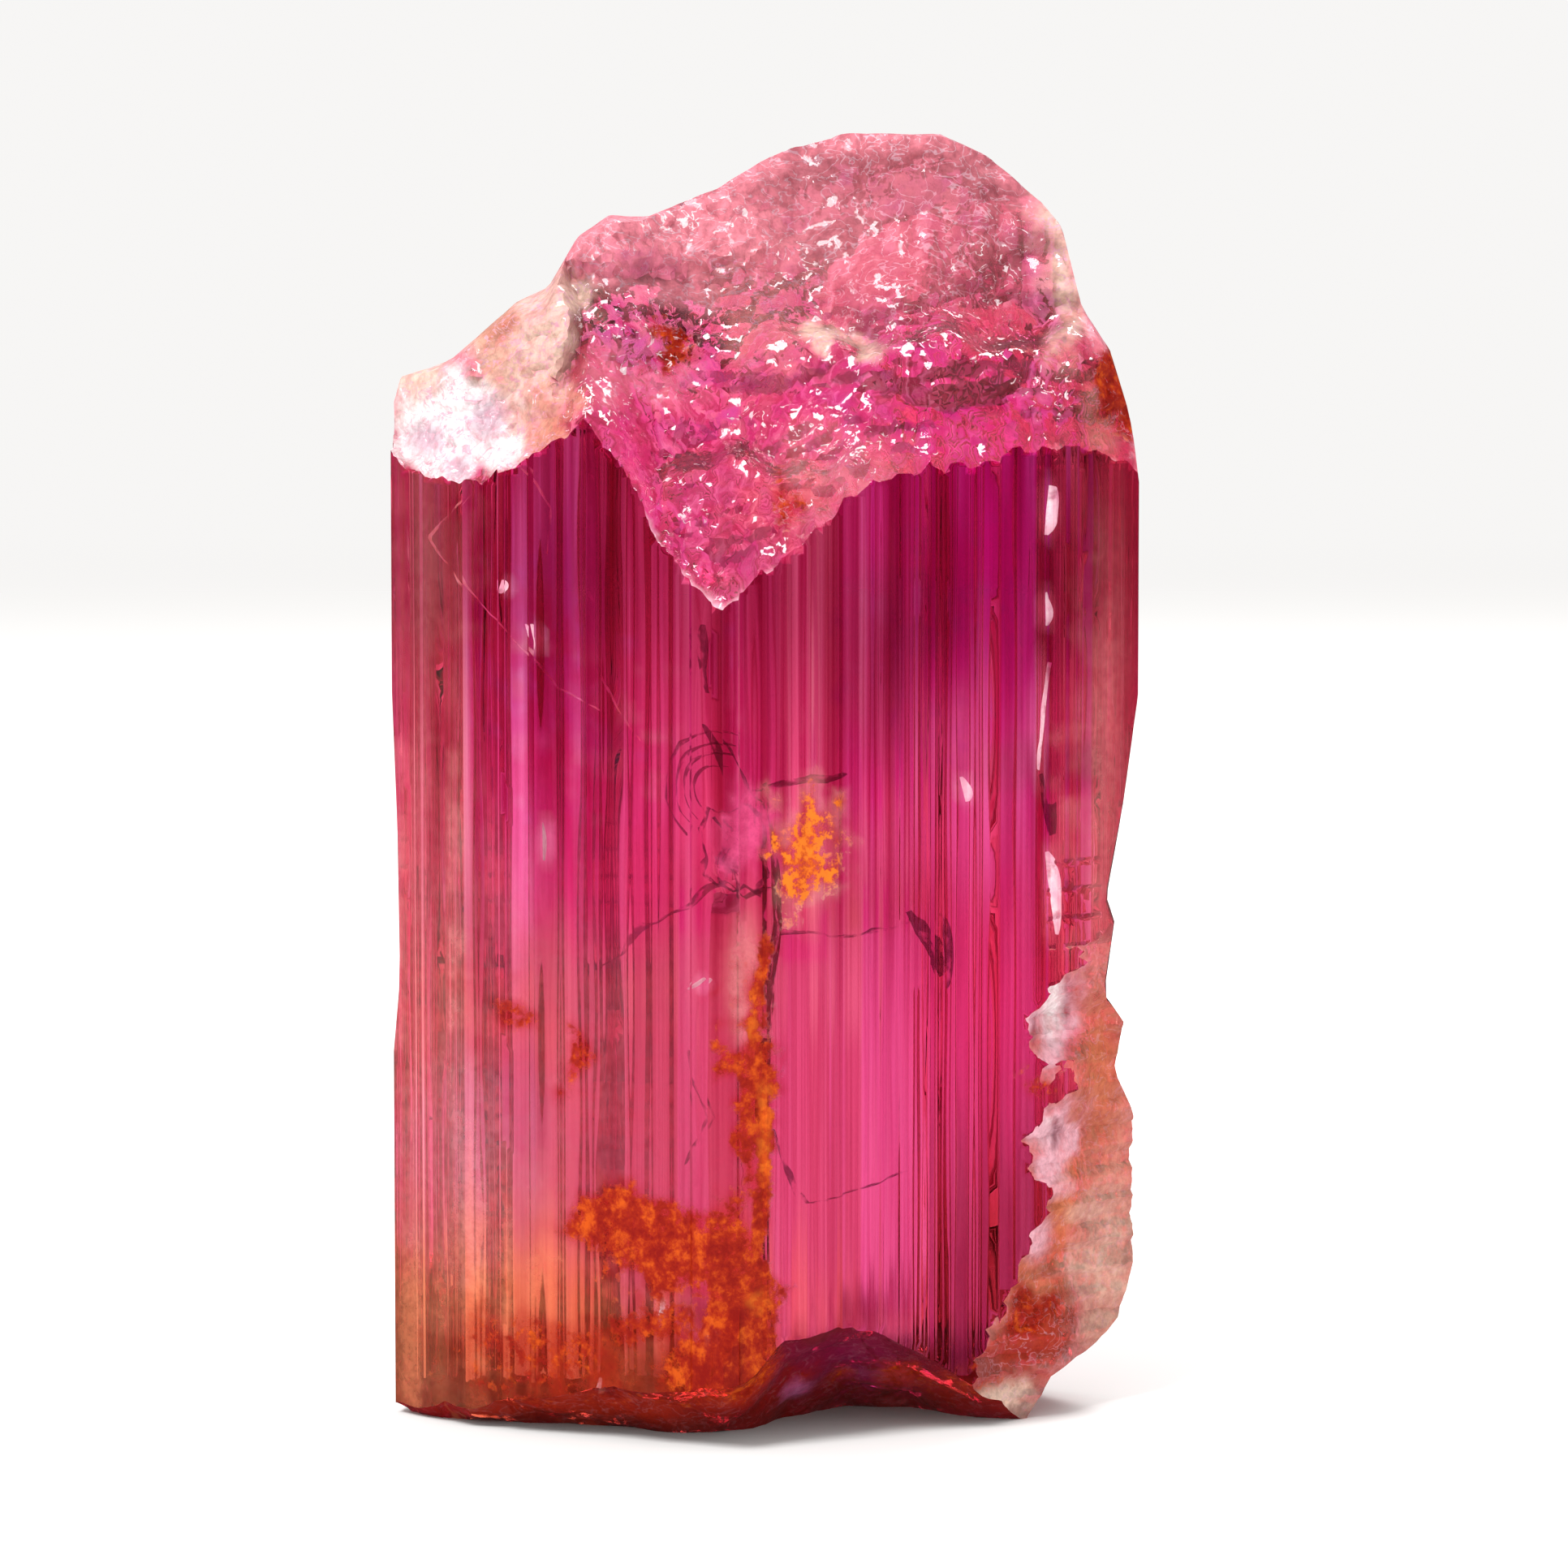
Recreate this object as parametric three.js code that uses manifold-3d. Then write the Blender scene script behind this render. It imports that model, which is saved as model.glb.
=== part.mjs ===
// An imperial topaz crystal: one natural prism of topaz, standing on the cleavage at its foot.
// The prism is orthorhombic: two broad prism faces meet at an obtuse edge at the front and at the
// back, and narrower, steeper faces close the acute sides. Growth ledges run up every face. The top is
// a rough, terraced break that slopes to the front and ends in a V on the front edge. A second break
// takes the lower right side, the foot is chipped all round, and a sliver is gone from the front edge.
// Millimetres, +Z up along the c axis, +X to the right and +Y to the back. The origin is under the
// middle of the crystal, on the surface that it stands on.
import * as THREE from 'three';
import { mergeVertices } from 'three/addons/utils/BufferGeometryUtils.js';
import Module from 'manifold-3d';

const wasm = await Module();
wasm.setup();

// Driving dimensions.
const blankHeight = 34; // the prism before its top breaks off
const cell = 0.52; // size of a facet on the broken surfaces
const ledgeDepth = 0.13; // the deepest growth ledge on a face

// Corners of the prism's section, seen from above and taken in turn from the left tip.
const leftTip = [-9.15, -0.3];
const leftShoulder = [-7.24, -2.35];
const frontEdge = [-0.98, -5.7];
const growthStep = [1.83, -4.34];
const rightShoulder = [6.95, -1.85];
const rightTip = [9.2, 0.4];
const rightTipBack = [9.2, 1.1];
const rightShoulderBack = [7.2, 2.95];
const backEdgeRight = [1.3, 5.75];
const backEdgeLeft = [-0.5, 5.95];
const leftShoulderBack = [-7.3, 2.55];
const leftTipBack = [-9.15, 0.45];
const stepHeight = 0.22; // how far the front right face steps back at growthStep

// Where the top break leaves the front faces: [x, z] from left to right.
const topRim = [
  [-9.2, 23.6], [-8.6, 23.1], [-6.85, 22.8], [-6.1, 23.3], [-5.0, 23.8], [-4.2, 24.3], [-3.3, 23.2],
  [-2.5, 21.5], [-1.87, 20.7], [-0.98, 20.0], [0.1, 20.9], [1.7, 22.2], [3.1, 22.9], [4.7, 23.15],
  [6.3, 23.6], [7.7, 23.7], [9.2, 23.0],
];
// The crest of the break as seen from the front: [x, z].
const crest = [
  [-9.2, 24.4], [-8.9, 25.5], [-7.7, 25.9], [-6.1, 27.3], [-5.3, 27.7], [-4.6, 28.9], [-3.8, 29.45],
  [-2.9, 29.4], [-1.2, 30.1], [0.7, 31.25], [1.9, 31.45], [4.3, 31.45], [5.5, 30.9], [6.8, 29.8],
  [7.3, 29.2], [7.8, 27.2], [8.5, 26.2], [9.0, 24.6], [9.25, 22.6],
];
// Where the side break leaves the front right face: [z, x].
const sideRim = [
  [-0.5, 4.4], [1.6, 5.0], [2.8, 5.5], [4.8, 6.5], [5.6, 6.9], [6.1, 6.4], [7.1, 6.1], [8.8, 6.6],
  [9.8, 6.2], [11.2, 7.3], [12.4, 8.2], [14, 9.4],
];
// How far the right side reaches: [z, x].
const rightReach = [
  [-1, 6.1], [0, 6.4], [0.5, 6.75], [1.1, 7.1], [1.5, 8.0], [2.1, 8.7], [3.3, 9.1], [6.2, 9.25],
  [7.3, 9.1], [8.4, 8.55], [9.6, 8.8], [10.3, 8.3], [12.1, 8.55], [12.7, 8.35], [15, 8.75],
  [18.4, 9.2], [35, 9.25],
];
// How far the left side reaches: [z, x].
const leftReach = [[-1, -9.2], [8.6, -9.16], [10.8, -8.95], [14.5, -9.0], [18.5, -9.15], [35, -9.2]];
// The width of the chipped strip along the front of the foot: [x, width].
const footChip = [
  [-9.5, 0.4], [-7.5, 0.8], [-4.0, 2.1], [-2.0, 2.3], [-0.4, 2.9], [0.5, 4.2], [2.0, 4.8], [3.6, 3.8],
  [5.2, 1.8], [6.6, 0.9], [9.5, 0.7],
];
// The sliver lost from the front edge: [z, how deep its scar goes].
const sliver = [[1.6, -0.1], [3.4, 0.24], [8.5, 0.3], [12.0, 0.26], [14.2, 0.2], [15.6, -0.1]];
const sliverTurn = 0.18; // how the scar turns back to the right, y over x

// A repeatable number from 0 to 1 for each n.
const chance = (n) => {
  const s = Math.sin(n * 127.1 + 11.7) * 43758.5453;
  return s - Math.floor(s);
};

const ramp = (low, high, x) => {
  const t = Math.min(1, Math.max(0, (x - low) / (high - low)));
  return t * t * (3 - 2 * t);
};

// The value at x on straight lines between [x, value] pairs.
function along(pairs, x) {
  if (x <= pairs[0][0]) return pairs[0][1];
  for (let i = 1; i < pairs.length; i++) {
    const [x0, v0] = pairs[i - 1];
    const [x1, v1] = pairs[i];
    if (x <= x1) return v0 + ((v1 - v0) * (x - x0)) / (x1 - x0);
  }
  return pairs[pairs.length - 1][1];
}

// Shallow bowls that meet in sharp ridges, as in a conchoidal break: one in each square of the given
// size, at a chance place, and the surface at a point is that of the nearest bowl. From 0 to depth.
function bowls(across, up, size, depth, seed) {
  const u = across * 0.62 + up * 0.2;
  const v = up - across * 0.17;
  const [column, row] = [Math.floor(u / size), Math.floor(v / size)];
  let nearest = Infinity;
  for (let i = column - 1; i <= column + 1; i++) {
    for (let j = row - 1; j <= row + 1; j++) {
      const n = seed + i * 7.31 + j * 3.77;
      const du = u / size - i - chance(n);
      const dv = v / size - j - chance(n + 0.5);
      nearest = Math.min(nearest, du * du + dv * dv + 0.35 * chance(n + 0.9));
    }
  }
  return depth * Math.min(1, nearest);
}

const frontFace = (x) => along([leftTip, leftShoulder, frontEdge, rightShoulder, rightTip], x);
const backFace = (x) =>
  along([leftTipBack, leftShoulderBack, backEdgeLeft, backEdgeRight, rightShoulderBack, rightTipBack], x);

// The sloping front of the top break, as a depth y over x and z. It leaves the faces at the rim and
// goes back as it rises, rounding off towards the crest. It has two treads, a deep bay left of the
// middle, and bowls all over.
function topBreakFront(x, z) {
  const rise = z - along(topRim, x);
  if (rise < 0) return frontFace(x) + rise;
  const rounded = -5.0 + 0.055 * (x + 0.5) ** 2;
  const start = THREE.MathUtils.lerp(frontFace(x), rounded, ramp(0.3, 3.5, rise));
  const wander = 0.25 * Math.sin(x * 1.9) + 0.12 * Math.sin(x * 4.3 + 1);
  const lowerTread = 1.3 * ramp(23.2, 23.7, z + wander) * ramp(-4.4, -1.4, x) * ramp(4.2, 0.8, x);
  const upperTread = 1.2 * ramp(26.2, 26.7, z - wander) * ramp(-1.5, 1.2, x) * ramp(8.8, 6.2, x);
  const lip = -4.95 + 0.25 * Math.sin(z * 1.7);
  const bay = 1.35 * ramp(lip, lip + 0.35, x) * ramp(-0.6, -3.9, x) * ramp(0.4, 2.4, rise);
  const rough = bowls(x, z, 1.5, 0.75, 5) + bowls(x, z, 0.8, 0.24, 41);
  return start + 0.43 * rise + lowerTread + upperTread + bay + rough * ramp(0, 0.9, rise);
}

// The top of the break, as a height z over x and y: a rounded ridge that falls away to the back.
function topBreakCrest(x, y) {
  const ridge = 1.5 + 0.12 * x;
  const fall = y > ridge ? 0.34 : 0.1;
  const spine = fall * (y - ridge) ** 2;
  return along(crest, x) - spine - bowls(x, y, 1.7, 0.9, 17) * ramp(ridge + 0.3, ridge + 2, y);
}

// The break on the lower right, as a depth y over x and z.
function sideBreak(x, z) {
  const edge = along(sideRim, z);
  const past = x - edge;
  const rough = bowls(x, z, 1.2, 0.7, 71) - 0.2;
  return frontFace(edge) + 0.96 * past + (past > 0 ? rough * ramp(0, 0.7, past) : 0);
}

// The underside, as a height z over x and y. Below 0 it leaves the flat cleavage as it is.
function foot(x, y) {
  const fromFront = frontFace(x) + along(footChip, x) - y;
  const fromBack = y - (backFace(x) - 0.9);
  return Math.max(fromFront * 0.6, fromBack * 0.7) - 0.1 + bowls(x, y, 1.1, 0.34, 93);
}

// The scar of the sliver gone from the front edge, as a depth y over x and z.
function edgeSliver(x, z) {
  return frontEdge[1] + along(sliver, z) + sliverTurn * (x - frontEdge[0]);
}

// A face of the prism as points from one corner to the next, without the last: strips of chance width,
// each set in by its own depth, so that ledges run up the face between them.
function ledges(from, to, strips, seed) {
  const a = new THREE.Vector2(...from);
  const b = new THREE.Vector2(...to);
  const side = b.clone().sub(a);
  const inward = new THREE.Vector2(-side.y, side.x).normalize();
  const widths = Array.from({ length: strips }, (_, i) => 0.35 + chance(seed + i));
  const whole = widths.reduce((sum, w) => sum + w);
  const points = [];
  let reached = 0;
  widths.forEach((width, i) => {
    const inset = inward.clone().multiplyScalar(ledgeDepth * chance(seed + i + 0.5));
    const start = reached / whole;
    reached += width;
    const end = (reached - 0.08) / whole;
    points.push(a.clone().lerp(b, start).add(inset), a.clone().lerp(b, end).add(inset));
  });
  return points;
}

// The prism's section. The front right face steps back once, where a growth layer ends.
function section() {
  const stepFoot = [growthStep[0] + 0.06, growthStep[1] + stepHeight];
  return [
    ...ledges(leftTip, leftShoulder, 3, 1),
    ...ledges(leftShoulder, frontEdge, 8, 11),
    ...ledges(frontEdge, growthStep, 5, 31),
    ...ledges(stepFoot, rightShoulder, 7, 47),
    ...ledges(rightShoulder, rightTip, 3, 61),
    ...ledges(rightTip, rightTipBack, 1, 67),
    ...ledges(rightTipBack, rightShoulderBack, 3, 71),
    ...ledges(rightShoulderBack, backEdgeRight, 7, 83),
    ...ledges(backEdgeRight, backEdgeLeft, 2, 97),
    ...ledges(backEdgeLeft, leftShoulderBack, 8, 103),
    ...ledges(leftShoulderBack, leftTipBack, 3, 127),
    ...ledges(leftTipBack, leftTip, 1, 131),
  ];
}

function toSolid(geometry) {
  const bare = geometry.clone();
  bare.deleteAttribute('normal');
  bare.deleteAttribute('uv');
  const merged = mergeVertices(bare, 1e-4);
  return new wasm.Manifold(
    new wasm.Mesh({
      numProp: 3,
      vertProperties: new Float32Array(merged.attributes.position.array),
      triVerts: new Uint32Array(merged.index.array),
    }),
  );
}

// A tool that breaks material away: a box over u and v with one side divided into uneven cells and
// pushed to the relief, and the other side set far off. place(u, v, w) gives the point at relief w.
function breaker([u0, u1], [v0, v1], far, relief, place, size = cell) {
  const columns = Math.round((u1 - u0) / size);
  const rows = Math.round((v1 - v0) / size);
  const box = new THREE.BoxGeometry(u1 - u0, v1 - v0, 1, columns, rows, 1);
  box.translate((u0 + u1) / 2, (v0 + v1) / 2, 0);
  const at = box.attributes.position;
  const inner = (t, low, high) => t > low + size / 2 && t < high - size / 2;
  for (let i = 0; i < at.count; i++) {
    let [u, v] = [at.getX(i), at.getY(i)];
    const near = at.getZ(i) > 0;
    if (near && inner(u, u0, u1) && inner(v, v0, v1)) {
      const n = u * 3.1 + v * 5.3;
      u += size * 0.6 * (chance(n) - 0.5);
      v += size * 0.6 * (chance(n + 0.5) - 0.5);
    }
    at.setXYZ(i, ...place(u, v, near ? relief(u, v) : far));
  }
  const solid = toSolid(box);
  if (solid.volume() > 0) return solid;
  const turned = box.index.array;
  for (let i = 0; i < turned.length; i += 3) [turned[i], turned[i + 1]] = [turned[i + 1], turned[i]];
  return toSolid(box);
}

const overXZ = (x, z, y) => [x, y, z];
const overXY = (x, y, z) => [x, y, z];
const overYZ = (y, z, x) => [x, y, z];
const width = [-10.6, 10.6];
const depth = [-7.3, 7.3];

const prism = new THREE.ExtrudeGeometry(new THREE.Shape(section()), {
  depth: blankHeight,
  bevelEnabled: false,
});

const crystal = [
  breaker(width, [17.5, 36], -20, topBreakFront, overXZ),
  breaker(width, depth, 60, topBreakCrest, overXY),
  breaker([3.4, 10.6], [-1.5, 15], -20, sideBreak, overXZ),
  breaker(depth, [-2, 36], 30, (y, z) => along(rightReach, z) + 0.05 * Math.sin(y * 3), overYZ, 0.7),
  breaker(depth, [-2, 36], -30, (y, z) => along(leftReach, z), overYZ, 1.4),
  breaker(width, depth, -20, foot, overXY, 0.7),
  breaker([-2.6, 1.4], [1, 17], -20, edgeSliver, overXZ),
].reduce((left, tool) => left.subtract(tool), toSolid(prism));

// Only the crystal itself is kept, and not crumbs that the tools leave.
const whole = crystal.decompose().reduce((a, b) => (a.volume() > b.volume() ? a : b));
const { vertProperties, triVerts } = whole.getMesh();
const geometry = new THREE.BufferGeometry()
  .setAttribute('position', new THREE.BufferAttribute(vertProperties, 3))
  .setIndex(new THREE.BufferAttribute(triVerts, 1));
geometry.computeVertexNormals();
geometry.computeBoundingBox();

const topaz = new THREE.MeshStandardMaterial({ color: 0xd6336c, roughness: 0.12, metalness: 0 });
const topazCrystal = new THREE.Mesh(geometry, topaz);
topazCrystal.name = 'topaz_crystal';
const { min, max } = geometry.boundingBox;
topazCrystal.position.set(-(min.x + max.x) / 2, -(min.y + max.y) / 2, -min.z);

const group = new THREE.Group();
group.add(topazCrystal);
export default group;
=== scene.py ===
# An imperial topaz crystal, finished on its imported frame. Shapes are worked out in millimetres, with
# the c axis up, and a piece is shrunk to metres and set in the frame's box when it is done.
import math

import bpy
import numpy as np
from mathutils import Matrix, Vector


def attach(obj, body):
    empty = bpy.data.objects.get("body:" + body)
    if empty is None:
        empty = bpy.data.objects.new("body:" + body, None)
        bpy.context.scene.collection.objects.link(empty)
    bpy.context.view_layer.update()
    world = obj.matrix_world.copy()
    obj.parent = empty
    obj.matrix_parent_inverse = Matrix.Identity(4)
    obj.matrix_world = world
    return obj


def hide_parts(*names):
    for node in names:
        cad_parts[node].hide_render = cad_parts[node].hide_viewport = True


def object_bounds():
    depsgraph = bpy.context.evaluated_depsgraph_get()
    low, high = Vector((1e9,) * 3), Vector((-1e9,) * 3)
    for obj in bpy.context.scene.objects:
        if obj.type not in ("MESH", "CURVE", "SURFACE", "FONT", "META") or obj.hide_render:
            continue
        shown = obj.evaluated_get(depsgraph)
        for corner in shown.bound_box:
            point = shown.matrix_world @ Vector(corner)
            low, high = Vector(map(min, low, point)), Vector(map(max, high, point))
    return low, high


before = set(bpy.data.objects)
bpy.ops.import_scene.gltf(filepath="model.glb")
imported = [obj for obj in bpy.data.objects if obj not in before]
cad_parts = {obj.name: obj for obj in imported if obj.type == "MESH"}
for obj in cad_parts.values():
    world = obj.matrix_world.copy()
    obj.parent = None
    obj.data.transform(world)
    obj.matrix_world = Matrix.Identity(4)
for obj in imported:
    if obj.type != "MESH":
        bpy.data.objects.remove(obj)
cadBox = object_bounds()
cadLow, cadHigh = cadBox
tall = cadHigh.z - cadLow.z
print("frame loaded,", round(tall * 1000, 1), "mm tall")


def chance(n):
    s = np.sin(n * 127.1 + 11.7) * 43758.5453
    return s - np.floor(s)


def ramp(low, high, t):
    s = np.clip((t - low) / (high - low), 0, 1)
    return s * s * (3 - 2 * s)


def along(pairs, t):
    return np.interp(t, [p[0] for p in pairs], [p[1] for p in pairs])


def patches(across, up, size, seed):
    # uneven cells: how far in the nearest middle is, and a number of its own for each cell
    u = (across * 0.62 + up * 0.2) / size
    v = (up - across * 0.17) / size
    column, row = np.floor(u), np.floor(v)
    nearest = np.full(np.shape(u), np.inf)
    number = np.zeros(np.shape(u))
    for i in (-1, 0, 1):
        for j in (-1, 0, 1):
            n = seed + (column + i) * 7.31 + (row + j) * 3.77
            du = u - column - i - chance(n)
            dv = v - row - j - chance(n + 0.5)
            reach = du * du + dv * dv + 0.35 * chance(n + 0.9)
            closer = reach < nearest
            nearest = np.where(closer, reach, nearest)
            number = np.where(closer, n, number)
    return nearest, number


def cloud(across, up, seed):
    # smooth hills and hollows of chance, one unit apart, from 0 to 1
    column, row = np.floor(across), np.floor(up)
    u, v = ramp(0, 1, across - column), ramp(0, 1, up - row)
    n = seed + column * 7.31 + row * 3.77
    low = chance(n) * (1 - u) + chance(n + 7.31) * u
    high = chance(n + 3.77) * (1 - u) + chance(n + 11.08) * u
    return low * (1 - v) + high * v


def bowls(across, up, size, depth, seed):
    return depth * np.minimum(1, patches(across, up, size, seed)[0])


def stairs(t, step, tread):
    # t climbs in steps: level for most of each one, then quickly up over its last part
    whole = np.floor(t / step)
    return step * (whole + ramp(1 - tread, 1, t / step - whole))


def pane(low, high, soft, t):
    # 1 between low and high
    return ramp(low - soft, low + soft, t) * ramp(high + soft, high - soft, t)


def spot(x, z, middleX, middleZ, wide, high, soft):
    # 1 inside an oval and 0 outside it
    away = np.hypot((x - middleX) / wide, (z - middleZ) / high)
    return 1 - ramp(1 - soft, 1 + soft, away)


def onlyThis(piece):
    bpy.ops.object.select_all(action="DESELECT")
    piece.select_set(True)
    bpy.context.view_layer.objects.active = piece


def readAll(items, field, kind=int, width=1):
    values = np.zeros(len(items) * width, dtype=kind)
    items.foreach_get(field, values)
    return values


def points(piece):
    return readAll(piece.data.vertices, "co", float, 3).reshape(-1, 3)


def setPoints(piece, co):
    piece.data.vertices.foreach_set("co", np.ascontiguousarray(co, dtype=float).ravel())
    piece.data.update()


def addGrid(columns, rows):
    # a flat grid, and how far across and up each of its points is, from 0 to 1
    bpy.ops.object.select_all(action="DESELECT")
    bpy.ops.mesh.primitive_grid_add(x_subdivisions=columns, y_subdivisions=rows, size=2)
    piece = bpy.context.object
    co = points(piece)
    return piece, (co[:, 0] + 1) / 2, (co[:, 1] + 1) / 2


def edit(piece, *steps):
    # takes steps in edit mode, each on the whole of a piece
    onlyThis(piece)
    bpy.ops.object.mode_set(mode="EDIT")
    for step, settings in steps:
        bpy.ops.mesh.select_all(action="SELECT")
        step(**settings)
    bpy.ops.object.mode_set(mode="OBJECT")


def fillEnds():
    bpy.ops.mesh.select_all(action="DESELECT")
    bpy.ops.mesh.select_mode(type="EDGE")
    bpy.ops.mesh.select_non_manifold()
    bpy.ops.mesh.fill_holes(sides=0)


turnOut = (bpy.ops.mesh.normals_make_consistent, {"inside": False})


def thicken(piece, by):
    # pulls a sheet out into a closed solid
    edit(piece, (bpy.ops.mesh.extrude_region_move, {"TRANSFORM_OT_translate": {"value": by}}), turnOut)


marks = {"face": 0, "top": 1, "side": 2, "foot": 3, "edge": 4}  # which break left a facet

crystal = {
    "blank": 34,  # height of the prism before its top breaks off
    "rows": 150,
    "ledge": 0.11,  # deepest growth ledge
    "fineWidth": 0.22,  # usual width of a fine growth line
    "fineDepth": 0.022,
    "sway": 0.002,  # how far a growth line wanders in and out on its way up
    "breakCell": 0.14,  # size of the smallest facets on the broken top
    "stepBack": 0.22,  # the front right face steps back at the growth step
    "sideBreakTop": 12.2,  # above these heights the lower right is smooth
    "edgeBreakTop": 9.8,
    "smoothAngle": 36,
}

frontEdge = (-0.98, -5.7)
growthStep = (1.83, -4.34)
# corners of the prism seen from above, with the broad ledges and the seed of the side that starts there
section = [
    ((-9.15, -0.3), 3, 1),
    ((-7.24, -2.35), 8, 11),
    (frontEdge, 5, 31),
    (growthStep, 0, 0),
    ((growthStep[0] + 0.06, growthStep[1] + crystal["stepBack"]), 7, 47),
    ((6.95, -1.85), 3, 61),
    ((9.2, 0.4), 1, 67),
    ((9.2, 1.1), 3, 71),
    ((7.2, 2.95), 7, 83),
    ((1.3, 5.75), 2, 97),
    ((-0.5, 5.95), 8, 103),
    ((-7.3, 2.55), 3, 127),
    ((-9.15, 0.45), 1, 131),
]
sectionCorners = [corner for corner, _, _ in section]
frontCorners = sectionCorners[:3] + sectionCorners[5:7]
backCorners = sectionCorners[:6:-1]
# where the top break leaves the front faces: x, z
topRim = [
    (-9.2, 23.6), (-8.6, 23.1), (-6.85, 22.8), (-6.1, 23.3), (-5, 23.8), (-4.2, 24.3), (-3.3, 23.2),
    (-2.5, 21.5), (-1.87, 20.7), (-0.98, 20), (0.1, 20.9), (1.7, 22.2), (3.1, 22.9), (4.7, 23.15),
    (6.3, 23.6), (7.7, 23.7), (9.2, 23),
]
# the crest of the break as seen from the front: x, z
crest = [
    (-9.2, 24.4), (-8.9, 25.5), (-7.7, 25.9), (-6.1, 27.3), (-5.3, 27.7), (-4.6, 28.9), (-3.8, 29.45),
    (-2.9, 29.4), (-1.2, 30.1), (0.7, 31.25), (1.9, 31.45), (4.3, 31.45), (5.5, 30.9), (6.8, 29.8),
    (7.3, 29.2), (7.8, 27.2), (8.5, 26.2), (9, 24.6), (9.25, 22.6),
]
# where the side break leaves the front right face: z, x
sideRim = [
    (-0.5, 4.4), (1.6, 5), (2.8, 5.5), (4.8, 6.5), (5.6, 6.9), (6.1, 6.4), (7.1, 6.1), (8.8, 6.6),
    (9.8, 6.2), (11.2, 7.3), (12.4, 8.2), (14, 9.4),
]
# how far the two sides reach: z, x
rightReach = [
    (-1, 6.1), (0, 6.4), (0.5, 6.75), (1.1, 7.1), (1.5, 8), (2.1, 8.7), (3.3, 9.1), (6.2, 9.25),
    (7.3, 9.1), (8.4, 8.55), (9.6, 8.8), (10.3, 8.3), (12.1, 8.55), (12.7, 8.35), (15, 8.75),
    (18.4, 9.2), (35, 9.25),
]
leftReach = [(-1, -9.2), (8.6, -9.16), (10.8, -8.95), (14.5, -9), (18.5, -9.15), (35, -9.2)]
# width of the chipped strip along the front of the foot: x, width
footChip = [
    (-9.5, 0.4), (-7.5, 0.8), (-4, 2.1), (-2, 2.3), (-0.4, 2.9), (0.5, 4.2), (2, 4.8), (3.6, 3.8),
    (5.2, 1.8), (6.6, 0.9), (9.5, 0.7),
]
# the scar of the sliver gone from the front edge: z, depth
sliver = [(1.6, -0.1), (3.4, 0.24), (8.5, 0.3), (12, 0.26), (14.2, 0.2), (15.6, -0.1)]

topBreak = {
    "slope": 0.43,  # how far back it runs on each millimetre up
    "front": -5.0,  # where the rounded V starts
    "rounding": 0.055,
    "lowerTread": 1.3,
    "upperTread": 1.2,
    "bay": 1.35,  # depth of the hollow beside the left chip
    "bowls": [(1.5, 0.85, 5), (0.8, 0.3, 41)],  # size, depth, seed
    "stair": 0.55,  # height of a small stair
    "stairDepth": 0.36,
    "backFall": 0.34,  # how fast the crest falls away to the back
    "frontFall": 0.1,
}
sideSlope = 0.96  # how far back the side break runs on each millimetre across
sliverSlope = 0.18


def frontFace(x):
    return along(frontCorners, x)


def backFace(x):
    return along(backCorners, x)


def topBreakFront(x, z):
    # depth y of the sloping front of the top break, with two treads, a bay and bowls all over
    rise = z - along(topRim, x) + 0.07 * np.sin(x * 9.1) + 0.02 * np.sin(x * 23.0 + 2)
    rounded = topBreak["front"] + topBreak["rounding"] * (x + 0.5) ** 2
    start = frontFace(x) + (rounded - frontFace(x)) * ramp(0.3, 3.5, rise)
    wander = 0.25 * np.sin(x * 1.9) + 0.12 * np.sin(x * 4.3 + 1)
    lower = topBreak["lowerTread"] * ramp(23.2, 23.7, z + wander) * ramp(-4.4, -1.4, x) * ramp(4.2, 0.8, x)
    upper = topBreak["upperTread"] * ramp(26.2, 26.7, z - wander) * ramp(-1.5, 1.2, x) * ramp(8.8, 6.2, x)
    lip = -4.95 + 0.25 * np.sin(z * 1.7)
    bay = topBreak["bay"] * ramp(lip, lip + 0.35, x) * ramp(-0.6, -3.9, x) * ramp(0.4, 2.4, rise)
    rough = sum(bowls(x, z, *facts) for facts in topBreak["bowls"])
    number = patches(x, z, 1.1, 19)[1]
    climb = rise + 0.6 * chance(number) + 0.5 * (chance(number + 2) - 0.5) * x
    quiet = 1 - 0.75 * ramp(26.9, 28.2, z) * ramp(-0.6, 1.4, x) * ramp(8.2, 7.2, x)
    small = topBreak["stairDepth"] * (stairs(climb, topBreak["stair"], 0.4) - climb)
    small = small + bowls(x, z, 0.42, 0.11, 203) + bowls(x * 1.3, z, 0.24, 0.03, 307)
    depth = start + topBreak["slope"] * rise + lower + upper + bay + rough * ramp(0, 0.9, rise)
    depth = depth + small * quiet * ramp(0, 0.35, rise)
    return np.where(rise < 0, frontFace(x) + rise, depth)


def topBreakCrest(x, y):
    # height z of the crest, a rounded ridge that falls away to the back
    ridge = 1.5 + 0.12 * x
    spine = np.where(y > ridge, topBreak["backFall"], topBreak["frontFall"]) * (y - ridge) ** 2
    small = bowls(x, y, 0.5, 0.16, 221) + bowls(x, y, 0.27, 0.05, 317)
    back = ramp(ridge + 0.3, ridge + 2, y)
    return along(crest, x) - spine - bowls(x, y, 1.7, 0.9, 17) * back - small * (0.3 + 0.7 * back)


def sideBreak(x, z):
    # depth y of the break on the lower right
    edge = along(sideRim, z)
    past = x - edge + 0.06 * np.sin(z * 8.3) + 0.04 * np.sin(z * 19.0)
    rough = 1.3 * cloud(x * 0.8 + z * 0.25, z * 0.5 - x * 0.3, 71) - 0.45 + bowls(x, z * 0.6, 0.7, 0.12, 231)
    return frontFace(edge) + sideSlope * past + np.where(past > 0, rough * ramp(0, 0.7, past), 0)


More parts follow.
